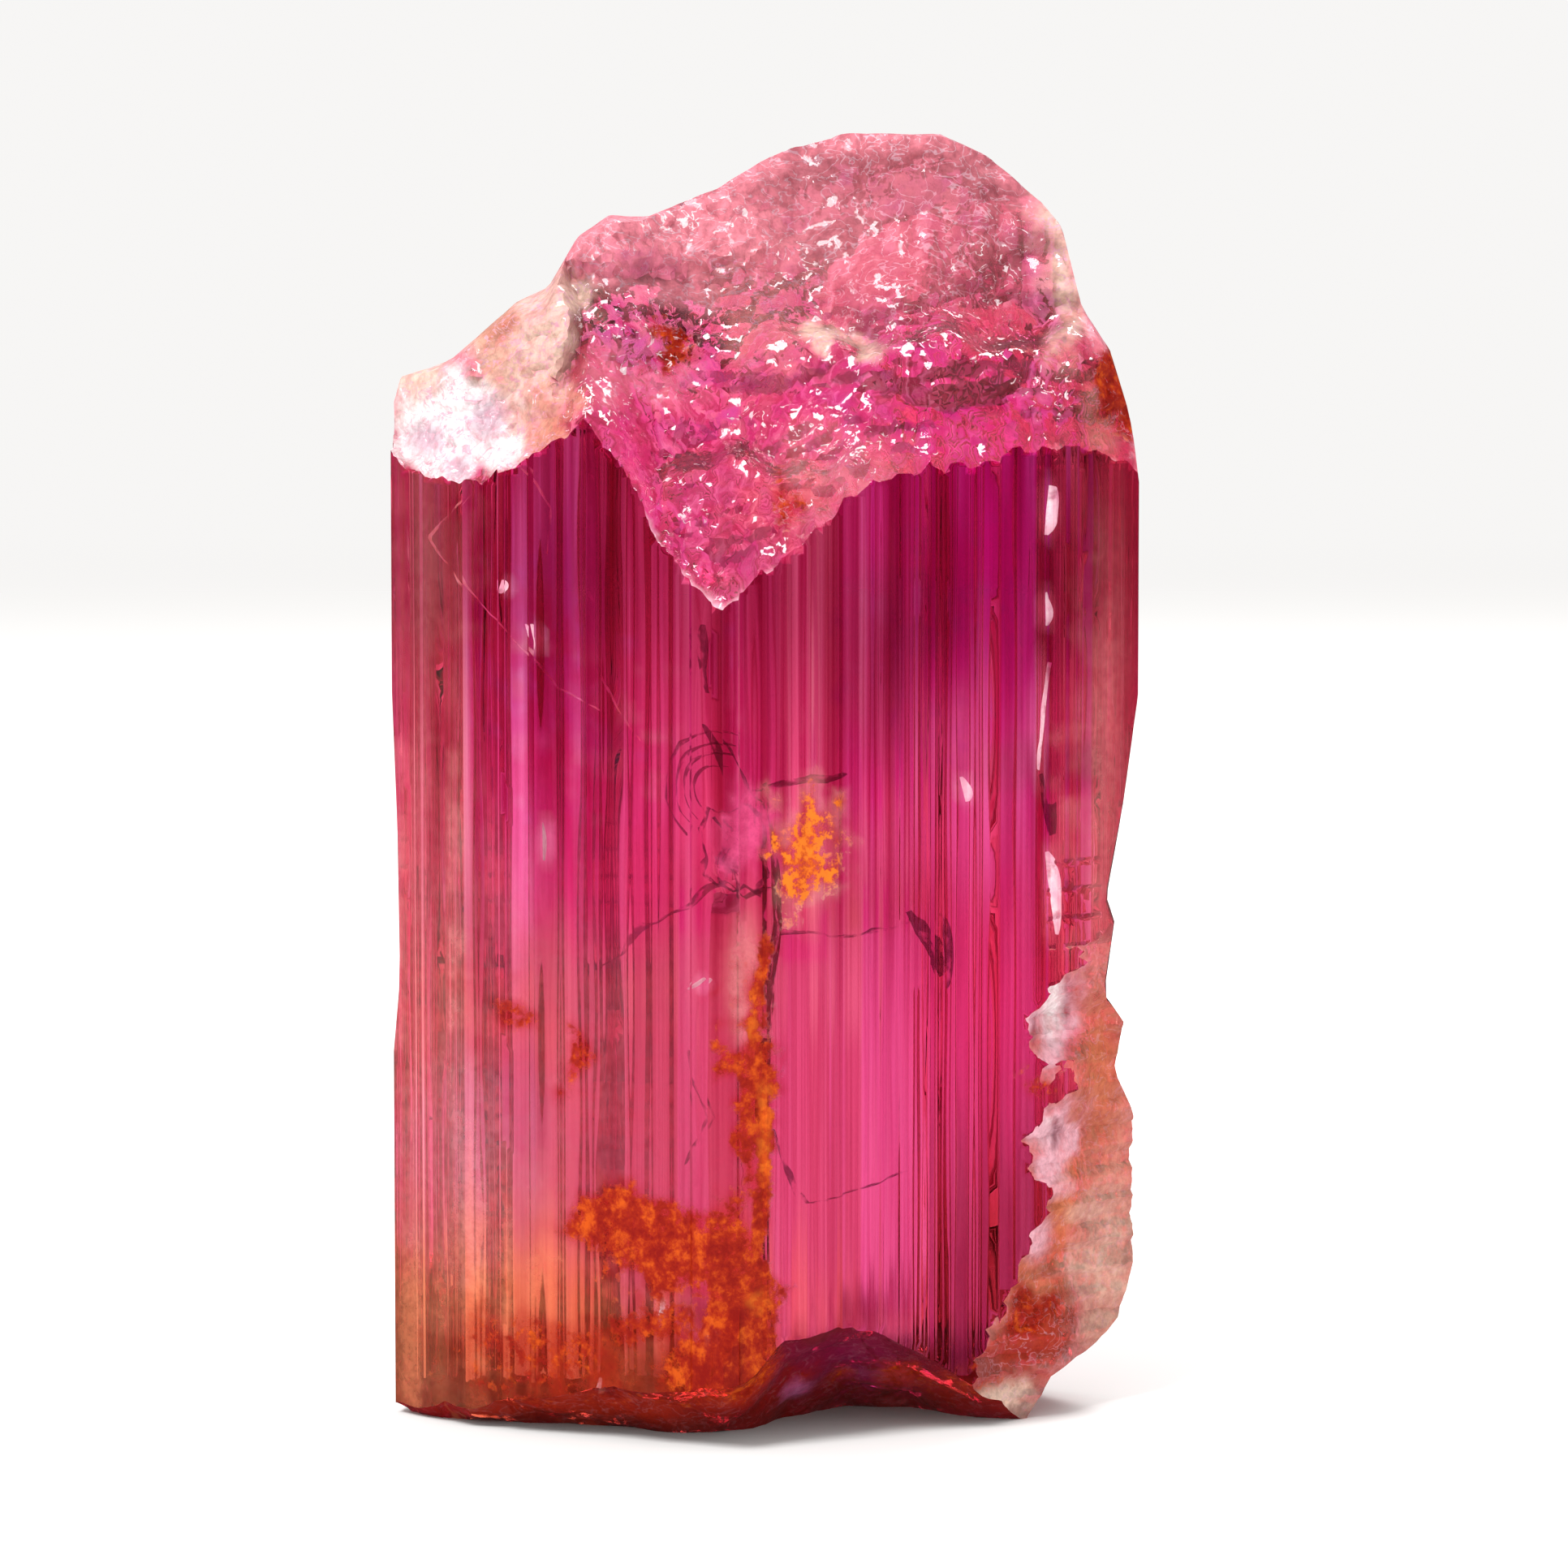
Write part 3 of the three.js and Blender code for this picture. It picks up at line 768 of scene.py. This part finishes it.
def laySkins(at, tint):
    # the skins, with painted highlights and painted shade among them, and how much of what is under them
    # they cover
    x, y, z = at.x, at.y, at.z
    skin = np.where(at.top[:, None] > 0, np.array(paints["pearl"]), tint)
    cover = 0.04 * at.top + 0.22 * spot(at.softX, at.softZ, *haze) * at.face * at.front
    # painted highlights: a pale rim where the top break leaves the faces, and a pale band along the crest
    rimHighlight = ramp(0.22, 0.02, z - along(topRim, x)) * at.top * at.front
    cover = np.maximum(cover, 0.6 * rimHighlight * ramp(0.35, 0.7, cloud(x * 1.3, z * 1.3, 71)))
    lay(skin, cover, "shell", 0.8 * ramp(1.2, 0.2, along(crest, x) - z) * at.top * at.front)
    streaks = 1 - 0.6 * at.face * ramp(0.35, 0.8, cloud(x * 3.7 + y, z * 0.08, 77))
    onFront = at.face * at.front
    groups = ((breakSkins, at.top), (faceSkins, onFront), (sideSkins, at.side), (footSkins, at.foot))
    for group, where in groups:
        for paint, *oval, amount in group:
            place = (at.raggedX, at.raggedZ) if oval[2] > 0.5 else (x, z)
            lay(skin, cover, paint, spot(*place, *oval) * where * streaks * amount)
    return skin, cover


def thickest(rows, at, soft):
    thick = np.zeros(len(at.x))
    for *oval, amount in rows:
        thick = np.maximum(thick, spot(at.raggedX, at.raggedZ, *oval, soft) * amount)
    return thick


def rustOn(at):
    # how thick the rust is, and how fresh: in patches, and along a seam down the middle
    x, z = at.x, at.z
    stain = thickest(rusts, at, 0.7) * at.front
    aside = abs(x + 0.1 - 0.14 * np.sin(z * 1.1) + 0.2 * (cloud(x * 3, z * 3, 73) - 0.5))
    seam = ramp(0.34, 0.1, aside) * ramp(1.4, 2.4, z) * ramp(12.9, 12.0, z) * at.face * at.front
    stain = np.maximum(stain, seam * (0.7 + 0.4 * cloud(x, z * 1.4, 75)))
    stain = stain * (0.4 + 0.6 * ramp(0.2, 1.5, z))
    patch = spot(x, z, *freshRust)
    return stain, patch, np.maximum(patch, 0.5 * seam * ramp(0.6, 0.8, cloud(x * 3, z * 1.4, 75)))


def paintCrystal(piece, corners, breaks):
    # colour zones, stains, skins, painted highlights and painted shade, corner by corner, so that they end
    # sharply at the rim of a break
    mesh = piece.data
    at = Corners(piece, corners, breaks)
    tint = zoneTint(at)
    addGrowthBands(tint, at)
    tint += (topTint(at) - tint) * at.top[:, None]
    toward(tint, "coral", 0.55 * at.side)
    # painted shade on the foot: dark, as the crystal mirrors its base from inside
    toward(tint, "baseShadeRed", 0.97 * at.foot * ramp(-8.6, -6.6, at.x))
    toward(tint, "baseShadeDark", 0.9 * at.foot * spot(at.x, at.z, 1.9, 1.3, 2.2, 0.9, 0.6))
    skin, cover = laySkins(at, tint)
    stain, patch, fresh = rustOn(at)
    toward(skin, "rust", ramp(0.3, 0.7, stain))
    toward(tint, "rust", 0.92 * ramp(0.3, 0.8, stain) * (1 - patch))
    # where the painted glints cluster on the top
    paintedGlints = thickest(paintedGlintClusters, at, 0.8) * at.top
    # painted reflection: the crystal's colour goes white along each void
    for (middleX, middleZ), _, width, height, strength in voidReflections:
        near = spot(at.x, at.z, middleX + width / 2, middleZ, 0.2, height / 2, 0.7)
        toward(tint, "white", near * at.face * at.front * strength * 0.8)

    opaque = np.ones(len(at.x))
    addLayer(mesh, "tint", "FLOAT_COLOR", "color", np.column_stack((tint, opaque)))
    addLayer(mesh, "skin", "FLOAT_COLOR", "color", np.column_stack((skin, opaque)))
    plain = {"cover": cover, "stain": stain, "fresh": fresh, "paintedGlints": paintedGlints, "broken": at.broken}
    for name, values in plain.items():
        addLayer(mesh, name, "FLOAT", "value", values)
    print("crystal painted:", len(plain) + 2, "layers")


def biggestPart(piece):
    # the biggest loose part is the crystal, and what the breaks leave beside it goes
    edit(piece, (bpy.ops.mesh.separate, {"type": "LOOSE"}))
    parts = sorted(bpy.context.selected_objects, key=lambda part: len(part.data.polygons))
    piece = parts.pop()
    for part in parts:
        bpy.data.objects.remove(part)
    piece.name = "topaz_body"
    return piece


def setInFrame(piece):
    co = points(piece)
    low, high = co.min(0), co.max(0)
    boxLow, boxHigh = np.array(cadLow), np.array(cadHigh)
    setPoints(piece, boxLow + (co - low) / (high - low) * (boxHigh - boxLow))


def finishCrystal(piece):
    piece = biggestPart(piece)
    edit(piece, (bpy.ops.mesh.quads_convert_to_tris, {}))
    edit(piece, (bpy.ops.mesh.dissolve_degenerate, {"threshold": 1e-4}))
    setInFrame(piece)

    mesh = piece.data
    broken = readAll(mesh.polygons, "material_index")
    height = readAll(mesh.polygons, "center", float, 3)[2::3] * 1000
    broken[(broken == marks["edge"]) & (height > crystal["edgeBreakTop"])] = marks["face"]
    broken[broken == marks["edge"]] = marks["side"]
    broken[(broken == marks["side"]) & (height > crystal["sideBreakTop"])] = marks["face"]
    byCorner = np.repeat(broken, readAll(mesh.polygons, "loop_total"))
    paintCrystal(piece, readAll(mesh.loops, "vertex_index"), byCorner)
    mesh.polygons.foreach_set("material_index", np.zeros(len(mesh.polygons), dtype=np.int32))
    mesh.materials.clear()
    onlyThis(piece)
    bpy.ops.object.shade_smooth_by_angle(angle=math.radians(crystal["smoothAngle"]))
    print("crystal:", len(mesh.polygons), "faces,", int((broken > 0).sum()), "on breaks")
    return piece


class Wire:
    # a socket to do sums with: each sum adds its Math node
    def __init__(self, finish, socket):
        self.finish = finish
        self.socket = socket

    def math(self, operation, *others):
        return self.finish.add("ShaderNodeMath", {"operation": operation}, dict(enumerate((self, *others))))

    def __add__(self, other):
        return self.math("ADD", other)

    def __sub__(self, other):
        return self.math("SUBTRACT", other)

    def __rsub__(self, other):
        return self * -1 + other

    def __mul__(self, other):
        return self.math("MULTIPLY", other)

    def top(self, other):
        return self.math("MAXIMUM", other)

    def least(self, other):
        return self.math("MINIMUM", other)

    def size(self):
        return self.math("ABSOLUTE")

    def rise(self, low, high):
        # 0 below low, 1 above high, smooth between
        values = {"Value": self, "From Min": low, "From Max": high}
        return self.finish.add("ShaderNodeMapRange", {"interpolation_type": "SMOOTHSTEP"}, values)


class Finish:
    # one material under construction
    def __init__(self, name):
        self.material = bpy.data.materials.new(name)
        self.material.use_nodes = True
        self.tree = self.material.node_tree
        self.tree.nodes.clear()
        self.place = self.add("ShaderNodeTexCoord", {}, {}, "Object")
        self.mm = self.vector("SCALE", self.place, {"Scale": 1000.0})

    def add(self, kind, settings, values, output=0):
        node = self.tree.nodes.new(kind)
        for key, value in settings.items():
            setattr(node, key, value)
        for key, value in values.items():
            if isinstance(value, Wire):
                self.tree.links.new(value.socket, node.inputs[key])
            else:
                node.inputs[key].default_value = value
        return None if output is None else Wire(self, node.outputs[output])

    def vector(self, operation, first, values, output=0):
        return self.add("ShaderNodeVectorMath", {"operation": operation}, {0: first, **values}, output)

    def noise(self, stretch, detail=2.0, rough=0.5, warp=0.0):
        values = {"Vector": self.vector("MULTIPLY", self.mm, {1: stretch}), "Scale": 1.0}
        values |= {"Detail": detail, "Roughness": rough, "Distortion": warp}
        return self.add("ShaderNodeTexNoise", {"noise_dimensions": "3D"}, values)

    def attribute(self, name, output="Fac"):
        return self.add("ShaderNodeAttribute", {"attribute_name": name}, {}, output)

    def mix(self, factor, first, second, blend="MIX"):
        settings = {"data_type": "RGBA", "blend_type": blend}
        return self.add("ShaderNodeMix", settings, {0: factor, 6: first, 7: second}, 2)

    def principled(self, values):
        return self.add("ShaderNodeBsdfPrincipled", {}, values)

    def output(self, surface, more=()):
        self.add("ShaderNodeOutputMaterial", {}, {"Surface": surface, **dict(more)}, None)


topaz = {
    "ior": 1.62,
    "absorb": (0.91, 0.13, 0.43, 1),
    "density": 100.0,  # per metre
    "grain": (4.2, 4.2, 4.2),  # rust grains to the millimetre, along each axis
    "grit": (1.7, 1.7, 1.7),
    "glints": (1.7, 1.7, 2.6),
    "threads": (11.0, 11.0, 0.12),  # finest growth lines
    "threadAmount": 0.8,
    "threadShade": (0.80, 0.50, 0.62, 1),
    "rough": 0.0,
    "skinRough": 0.4,
    "skinGloss": 0.15,
    "shards": 5.6,  # small facets of the breaks to the millimetre
    "shardLean": 0.16,
    "glintShare": 0.26,  # share of the facets in a cluster painted bright as glints
    "hair": 0.022,  # width of the fine bright lines on the breaks, painted highlights along their small steps
    "lineHighlightAmount": 0.85,
    "mostCover": 0.97,
}


def solid(name):
    return (*paints[name], 1)


def paintTopaz():
    paint = Finish("clear topaz")
    broken = paint.attribute("broken")
    grain = paint.noise(topaz["grain"], detail=3.0, rough=0.68).rise(0.28, 0.72)
    glints = paint.noise(topaz["glints"], detail=2.5, rough=0.6, warp=0.6)
    grit = paint.noise(topaz["grit"], detail=4.0, rough=0.75)
    threads = paint.noise(topaz["threads"], detail=1.0)
    values = {"Vector": paint.mm, "Scale": topaz["shards"]}
    shards = paint.add("ShaderNodeTexVoronoi", {"feature": "F1"}, values, "Color")
    pick = paint.add("ShaderNodeSeparateColor", {}, {0: shards})
    clustered = paint.attribute("paintedGlints")
    # painted highlights: in the glint clusters some facets and fine lines are painted white
    glintFacet = (clustered * topaz["glintShare"] + pick - 1).rise(0.0, 0.02)
    hair = (topaz["hair"] - (glints - 0.5).size()).rise(0.0, 0.015)
    edge = hair * (clustered * 2.6 + pick - 1).rise(0.0, 0.1)
    paintedGlints = glintFacet.top(edge) * grain.rise(0.35, 0.6)
    # the skins' cover, with the painted highlights of the rim, the crest and the side break in it
    frostAndHighlight = paint.attribute("cover") * (grain * 0.5 + 0.7)
    rust = (paint.attribute("stain") * 1.3 + grain * 0.6 - 0.8).rise(0.0, 0.6)
    hidden = (rust * 1.05).top(frostAndHighlight).top(paintedGlints * 0.85).least(topaz["mostCover"])

    lines = (1 - threads.rise(0.35, 0.6)) * (1 - broken.rise(0.0, 0.2)) * topaz["threadAmount"]
    tint = paint.attribute("tint", "Color")
    tint = paint.mix(lines, tint, paint.mix(1.0, tint, topaz["threadShade"], "MULTIPLY"))
    ore = paint.mix(grit.rise(0.36, 0.56), solid("ember"), solid("rust"))
    ore = paint.mix(grit.rise(0.48, 0.68), ore, solid("orange"))
    bright = paint.mix(grain.rise(0.25, 0.8), solid("orange"), solid("gold"))
    ore = paint.mix(paint.attribute("fresh"), ore, bright)
    # painted highlights: fine pale lines over the breaks
    lineHighlights = hair * broken * broken * topaz["lineHighlightAmount"]
    skin = paint.mix(lineHighlights, paint.attribute("skin", "Color"), solid("petal"))
    skin = paint.mix(rust, skin, ore)
    # the painted glints, from petal to white
    skin = paint.mix(paintedGlints, skin, paint.mix(grain, solid("petal"), solid("white")))

    lean = paint.vector("SUBTRACT", shards, {1: (0.5, 0.5, 0.5)})
    lean = paint.vector("SCALE", lean, {"Scale": broken * topaz["shardLean"]})
    straight = paint.add("ShaderNodeNewGeometry", {}, {}, "Normal")
    facets = paint.vector("NORMALIZE", paint.vector("ADD", straight, {1: lean}), {})
    values = {"Base Color": tint, "Roughness": topaz["rough"], "IOR": topaz["ior"], "Normal": facets}
    clear = paint.principled({**values, "Transmission Weight": 1.0})
    values = {"Base Color": skin, "Roughness": topaz["skinRough"], "Normal": facets}
    dull = paint.principled({**values, "Specular IOR Level": topaz["skinGloss"]})
    surface = paint.add("ShaderNodeMixShader", {}, {0: hidden, 1: clear, 2: dull})
    values = {"Color": topaz["absorb"], "Density": topaz["density"]}
    paint.output(surface, {"Volume": paint.add("ShaderNodeVolumeAbsorption", {}, values)})
    return paint.material


# thin sheets inside the crystal: how far each runs back, how far it turns across and up on the way, its
# waviness, its two paints, how much of it is there, its front edge as x and z, and its cover and glow
cracks = {
    "rust_crack": (1.2, (-0.4, 0), 0.14, ("ember", "orange"), 0.5, [
        (0, 15.6), (0.1, 15), (0.3, 14), (0.38, 12.6), (0.2, 11.3), (0.05, 9.5), (0, 7.5), (0.02, 5.5),
        (0.05, 3.6), (0.2, 2.4)], 0.7),
    "wedge_crack": (0.6, (-0.22, 0.18), 0.1, ("smoke", "smoke"), 0.6, [
        (-1.3, 17.3), (-1, 16.9), (-0.75, 16.5), (-0.5, 16.1), (-0.35, 15.7), (-0.1, 15.5)]),
    "side_crack": (0.5, (0.05, 0.14), 0.1, ("smoke", "wine"), 0.6, [
        (-0.4, 15.75), (0.3, 15.85), (0.9, 15.95), (1.4, 15.9), (1.85, 16.05)]),
    "notch_crack": (0.6, (-0.14, 0.05), 0.1, ("plumSmoke", "wine"), 0.55, [
        (-1.35, 19.7), (-1.25, 19.2), (-1.3, 18.6), (-1.25, 18.1)]),
    "branch_crack": (0.5, (-0.08, -0.08), 0.2, ("plumSmoke", "orange"), 0.45, [
        (0.1, 13.4), (-0.5, 13.2), (-0.9, 13.6), (-1.2, 13.4), (-1.7, 12.95), (-2.3, 12.75), (-2.9, 12.3),
        (-3.3, 11.8), (-3.8, 11.5)]),
    "cell_crack": (0.2, (0, 0), 0.4, ("plumSmoke", "wine"), 0.35, [
        (0, 15.1), (-0.4, 15.5), (-0.9, 15.3), (-1.2, 15.4), (-1.45, 14.8), (-1.25, 14.2), (-1.4, 13.7),
        (-0.9, 13.4), (-0.5, 13.5), (-0.15, 13.2), (0, 13.9), (-0.1, 14.5)]),
    "cell_fold": (0.2, (0, 0), 0.4, ("plumSmoke", "wine"), 0.3, [
        (-1.1, 15.2), (-0.85, 14.8), (-0.95, 14.3), (-0.7, 13.9), (-0.75, 13.4)]),
    "panel_crack": (0.3, (0.02, 0.03), 0.16, ("plumSmoke", "wine"), 0.3, [
        (0.1, 7.7), (0.35, 6.9), (0.6, 6.1), (0.8, 5.85), (1.6, 5.95), (2.6, 6.15), (3.6, 6.55)]),
    "panel_top_crack": (0.4, (0, 0.06), 0.2, ("wine", "smoke"), 0.35, [
        (0.3, 12.3), (1, 12.35), (2, 12.15), (2.8, 12.3), (3.4, 12.45)]),
    "dark_lens": (0.7, (0.3, 0), 0.08, ("plumSmoke", "smoke"), 0.7, [
        (3.35, 12.7), (3.6, 12.2), (3.95, 11.6), (4.15, 11.1)]),
    "dark_lens_right": (0.7, (0.15, 0.05), 0.1, ("plumSmoke", "smoke"), 0.6, [
        (4.15, 12.6), (4.25, 12), (4.3, 11.4), (4.35, 10.8)]),
    "slit_crack": (0.5, (0.1, 0), 0.08, ("plumSmoke", "smoke"), 0.7, [
        (6.55, 15.9), (6.6, 15.4), (6.7, 14.9), (6.85, 14.4)]),
    "low_crack": (0.4, (-0.06, -0.08), 0.25, ("smoke", "rust"), 0.35, [
        (-1.75, 9.6), (-1.6, 8.8), (-1.2, 8.1), (-1.5, 7.4), (-1.8, 6.9)]),
    "arrow_crack": (0.4, (0.05, 0.05), 0.05, ("peach", "pearl"), 0.45, [
        (-6.85, 22.9), (-7.4, 22.3), (-8, 21.6), (-7.2, 20.5), (-5.8, 19.1), (-4.9, 18.1),
        (-3.7, 17.5)], 0.45, 0.7),
    "chip_crack": (0.4, (0.1, 0), 0.1, ("peach", "pearl"), 0.45, [
        (-5.9, 23.6), (-5.4, 23), (-5.1, 22.4), (-5.15, 21.3)], 0.45, 0.7),
    "thread_crack": (0.4, (0.05, 0), 0.05, ("peach", "pearl"), 0.45, [
        (-3.8, 18.4), (-3.4, 17.6), (-2.9, 16.9)], 0.45, 0.7),
}
arcs = {"middle": (-1.1, 15.8), "radii": (0.5, 0.75, 0.95, 1.2), "from": 70, "to": 235}  # fine curved cracks
sheets = {  # what all the sheets share
    "gap": 0.3,  # how far under the front faces they start
    "thick": 0.03,
    "cell": 0.12,
    "rows": 7,
    "rough": 0.5,
    "fine": (4.0, 4.0, 4.0),  # specks of the second paint to the millimetre
    "holes": (2.2, 2.2, 2.2),
}


def addVoidReflections():
    # each void is a pale sheet that glows: a painted reflection
    for n, ((x, z), lean, width, height, strength) in enumerate(voidReflections, 1):
        path = [(x + lean * (share - 0.5), z + height * (share - 0.5)) for share in (0, 0.25, 0.5, 0.75, 1)]
        addSheet(f"sliver_{n}", 0.2, (width, 0), 0.08, ("pearl", "white"), 0.8, path, 0.75, strength)


def addArcs():
    x, z = arcs["middle"]
    turns = np.radians(np.linspace(arcs["from"], arcs["to"], 9))
    for n, radius in enumerate(arcs["radii"], 1):
        path = list(zip(x + radius * np.cos(turns), z + radius * np.sin(turns) * 1.15))
        addSheet(f"arc_crack_{n}", 0.25, (0.03, 0.03), 0.1, ("wine", "rose"), 0.5, path)


def addSheet(name, depth, turn, waviness, colours, amount, path, cover=0.45, glow=0):
    # a thin wavy sheet that starts just under the front faces
    path = np.array(path)
    steps = np.linalg.norm(np.diff(path, axis=0), axis=1)
    reached = np.concatenate(((0,), np.cumsum(steps)))
    sheet, run, back = addGrid(max(8, round(reached[-1] / sheets["cell"])), sheets["rows"])
    sheet.name = name
    x = np.interp(run * reached[-1], reached, path[:, 0])
    z = np.interp(run * reached[-1], reached, path[:, 1])
    taper = np.sqrt(np.sin(np.pi * (0.04 + 0.92 * run)))
    y = frontFace(x) + sheets["gap"] + back * depth * taper
    wave = waviness * (0.3 + back)
    x = x + turn[0] * back * taper + wave * (cloud(z * 1.9 + x, y * 1.5, 61) - 0.5)
    z = z + turn[1] * back * taper + wave * (cloud(x * 1.9 + z, y * 1.5, 67) - 0.5)
    setPoints(sheet, np.stack((x, y, z), axis=1) / 1000)
    whole = path[-1] - path[0]
    aside = np.array((whole[1], -whole[0])) / max(np.hypot(*whole), 0.2) * sheets["thick"] / 1000
    thicken(sheet, (aside[0], 0.00001, aside[1]))
    sheet.data.materials.append(paintSheet(name, colours, amount, cover, glow))
    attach(sheet, "root")


def paintSheet(name, colours, amount, cover, glow):
    # the glow stands for the light that a gap in the crystal throws back
    paint = Finish("skin of " + name.replace("_", " "))
    fine = paint.noise(sheets["fine"], detail=4.0, rough=0.65).rise(0.3, 0.7)
    skin = paint.mix(fine, *map(solid, colours))
    holes = paint.noise(sheets["holes"], detail=3.0).rise(0.3, 0.7)
    there = (holes + amount - 0.6).rise(0.0, 0.5)
    values = {"Base Color": skin, "Roughness": sheets["rough"], "Alpha": there * cover}
    values |= {"Emission Color": skin, "Emission Strength": glow}
    paint.output(paint.principled(values))
    paint.material.cycles.emission_sampling = "NONE"
    return paint.material


studio = {
    "elevation": 4.5,  # degrees that the camera looks down
    "lens": 135,
    "sensor": 36,
    "framed": 1.223,  # height of the picture, in crystals
    "aim": (0.00044, 0, 0.4935),  # across, along, and share of the height
    "world": (0.93, 0.92, 0.91, 1),
    "floor": (0.86, 0.85, 0.84, 1),
    "floorFade": (0.15, 0.6),  # where the floor starts and ends to fade
    "curtain": (0.03, 0.014, 0.066),  # grey that the side faces mirror, radius, height
    "ceiling": (0.13, 0.5),  # grey that the breaks mirror, radius
    "bounces": 10,
    "lit": (0, 0, 0.018),  # what the softboxes point at
    "softboxes": [  # place, width, height, power
        ("key", (-0.12, -0.14, 0.28), 0.12, 0.12, 0.8),
        ("back", (0.1, 0.22, 0.3), 0.2, 0.1, 0.8),
    ],
}


def hang(name, data, place, turn):
    holder = bpy.data.objects.new(name, data)
    holder.location = place
    holder.rotation_euler = turn
    bpy.context.scene.collection.objects.link(holder)
    return holder


def addCamera():
    lens, sensor = studio["lens"], studio["sensor"]
    away = tall * studio["framed"] * lens / sensor
    lean = math.radians(studio["elevation"])
    across, back, share = studio["aim"]
    aim = Vector((across, back, cadLow.z + share * tall))
    camera = bpy.data.cameras.new("camera")
    camera.lens = lens
    camera.sensor_width = sensor
    camera.clip_start = 0.01
    place = aim + away * Vector((0, -math.cos(lean), math.sin(lean)))
    bpy.context.scene.camera = hang("camera", camera, place, (math.pi / 2 - lean, 0, 0))


def addFloor():
    # a round floor that fades into the backdrop
    bpy.ops.mesh.primitive_circle_add(vertices=96, radius=1.2, fill_type="NGON", location=(0, 0, 0))
    floor = bpy.context.object
    floor.name = "floor"
    paint = Finish("pale floor")
    reach = paint.vector("LENGTH", paint.place, {}, 1).rise(*studio["floorFade"])
    floorSkin = paint.add("ShaderNodeBsdfDiffuse", {}, {"Color": studio["floor"]})
    clear = paint.add("ShaderNodeBsdfTransparent", {}, {})
    paint.output(paint.add("ShaderNodeMixShader", {}, {0: reach, 1: floorSkin, 2: clear}))
    floor.data.materials.append(paint.material)
    floor.visible_glossy = False


def addFlag(name, grey):
    # what was just added becomes a dim card that only gloss sees, so that colours keep their depth
    flag = bpy.context.object
    flag.name = name
    paint = Finish(name)
    paint.output(paint.add("ShaderNodeEmission", {}, {"Color": (grey, grey, grey, 1)}))
    flag.data.materials.append(paint.material)
    paint.material.cycles.emission_sampling = "NONE"
    flag.visible_camera = flag.visible_diffuse = flag.visible_transmission = False
    flag.visible_shadow = flag.visible_volume_scatter = False


def addFlags():
    grey, radius, height = studio["curtain"]
    bpy.ops.mesh.primitive_cylinder_add(
        vertices=64, radius=radius, depth=height, end_fill_type="NOTHING", location=(0, 0, 0.003)
    )
    addFlag("curtain", grey)
    grey, radius = studio["ceiling"]
    bpy.ops.mesh.primitive_uv_sphere_add(segments=48, ring_count=24, radius=radius, location=(0, 0, 0))
    addFlag("ceiling", grey)


def addSoftbox(name, place, width, height, power):
    light = bpy.data.lights.new(name, "AREA")
    light.shape = "RECTANGLE"
    light.size, light.size_y = width, height
    light.energy = power
    away = Vector(studio["lit"]) - Vector(place)
    hang(name, light, place, away.to_track_quat("-Z", "Y").to_euler()).visible_camera = False


def addStudio():
    scene = bpy.context.scene
    world = bpy.data.worlds.new("studio")
    world.use_nodes = True
    world.node_tree.nodes["Background"].inputs[0].default_value = studio["world"]
    world.cycles.sampling_method = "NONE"
    scene.world = world
    scene.view_settings.view_transform = "Standard"
    scene.cycles.max_bounces = scene.cycles.transmission_bounces = studio["bounces"]
    scene.cycles.diffuse_bounces = 1
    addFloor()
    addFlags()
    for softbox in studio["softboxes"]:
        addSoftbox(*softbox)


addCamera()
addStudio()
print("camera and studio ready")
piece = finishCrystal(buildCrystal())
piece.data.materials.append(paintTopaz())
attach(piece, "root")
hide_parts("topaz_crystal")
print("crystal done")
for name, facts in cracks.items():
    addSheet(name, *facts)
addVoidReflections()
addArcs()
print("sheets inside:", len(cracks) + len(voidReflections) + len(arcs["radii"]))
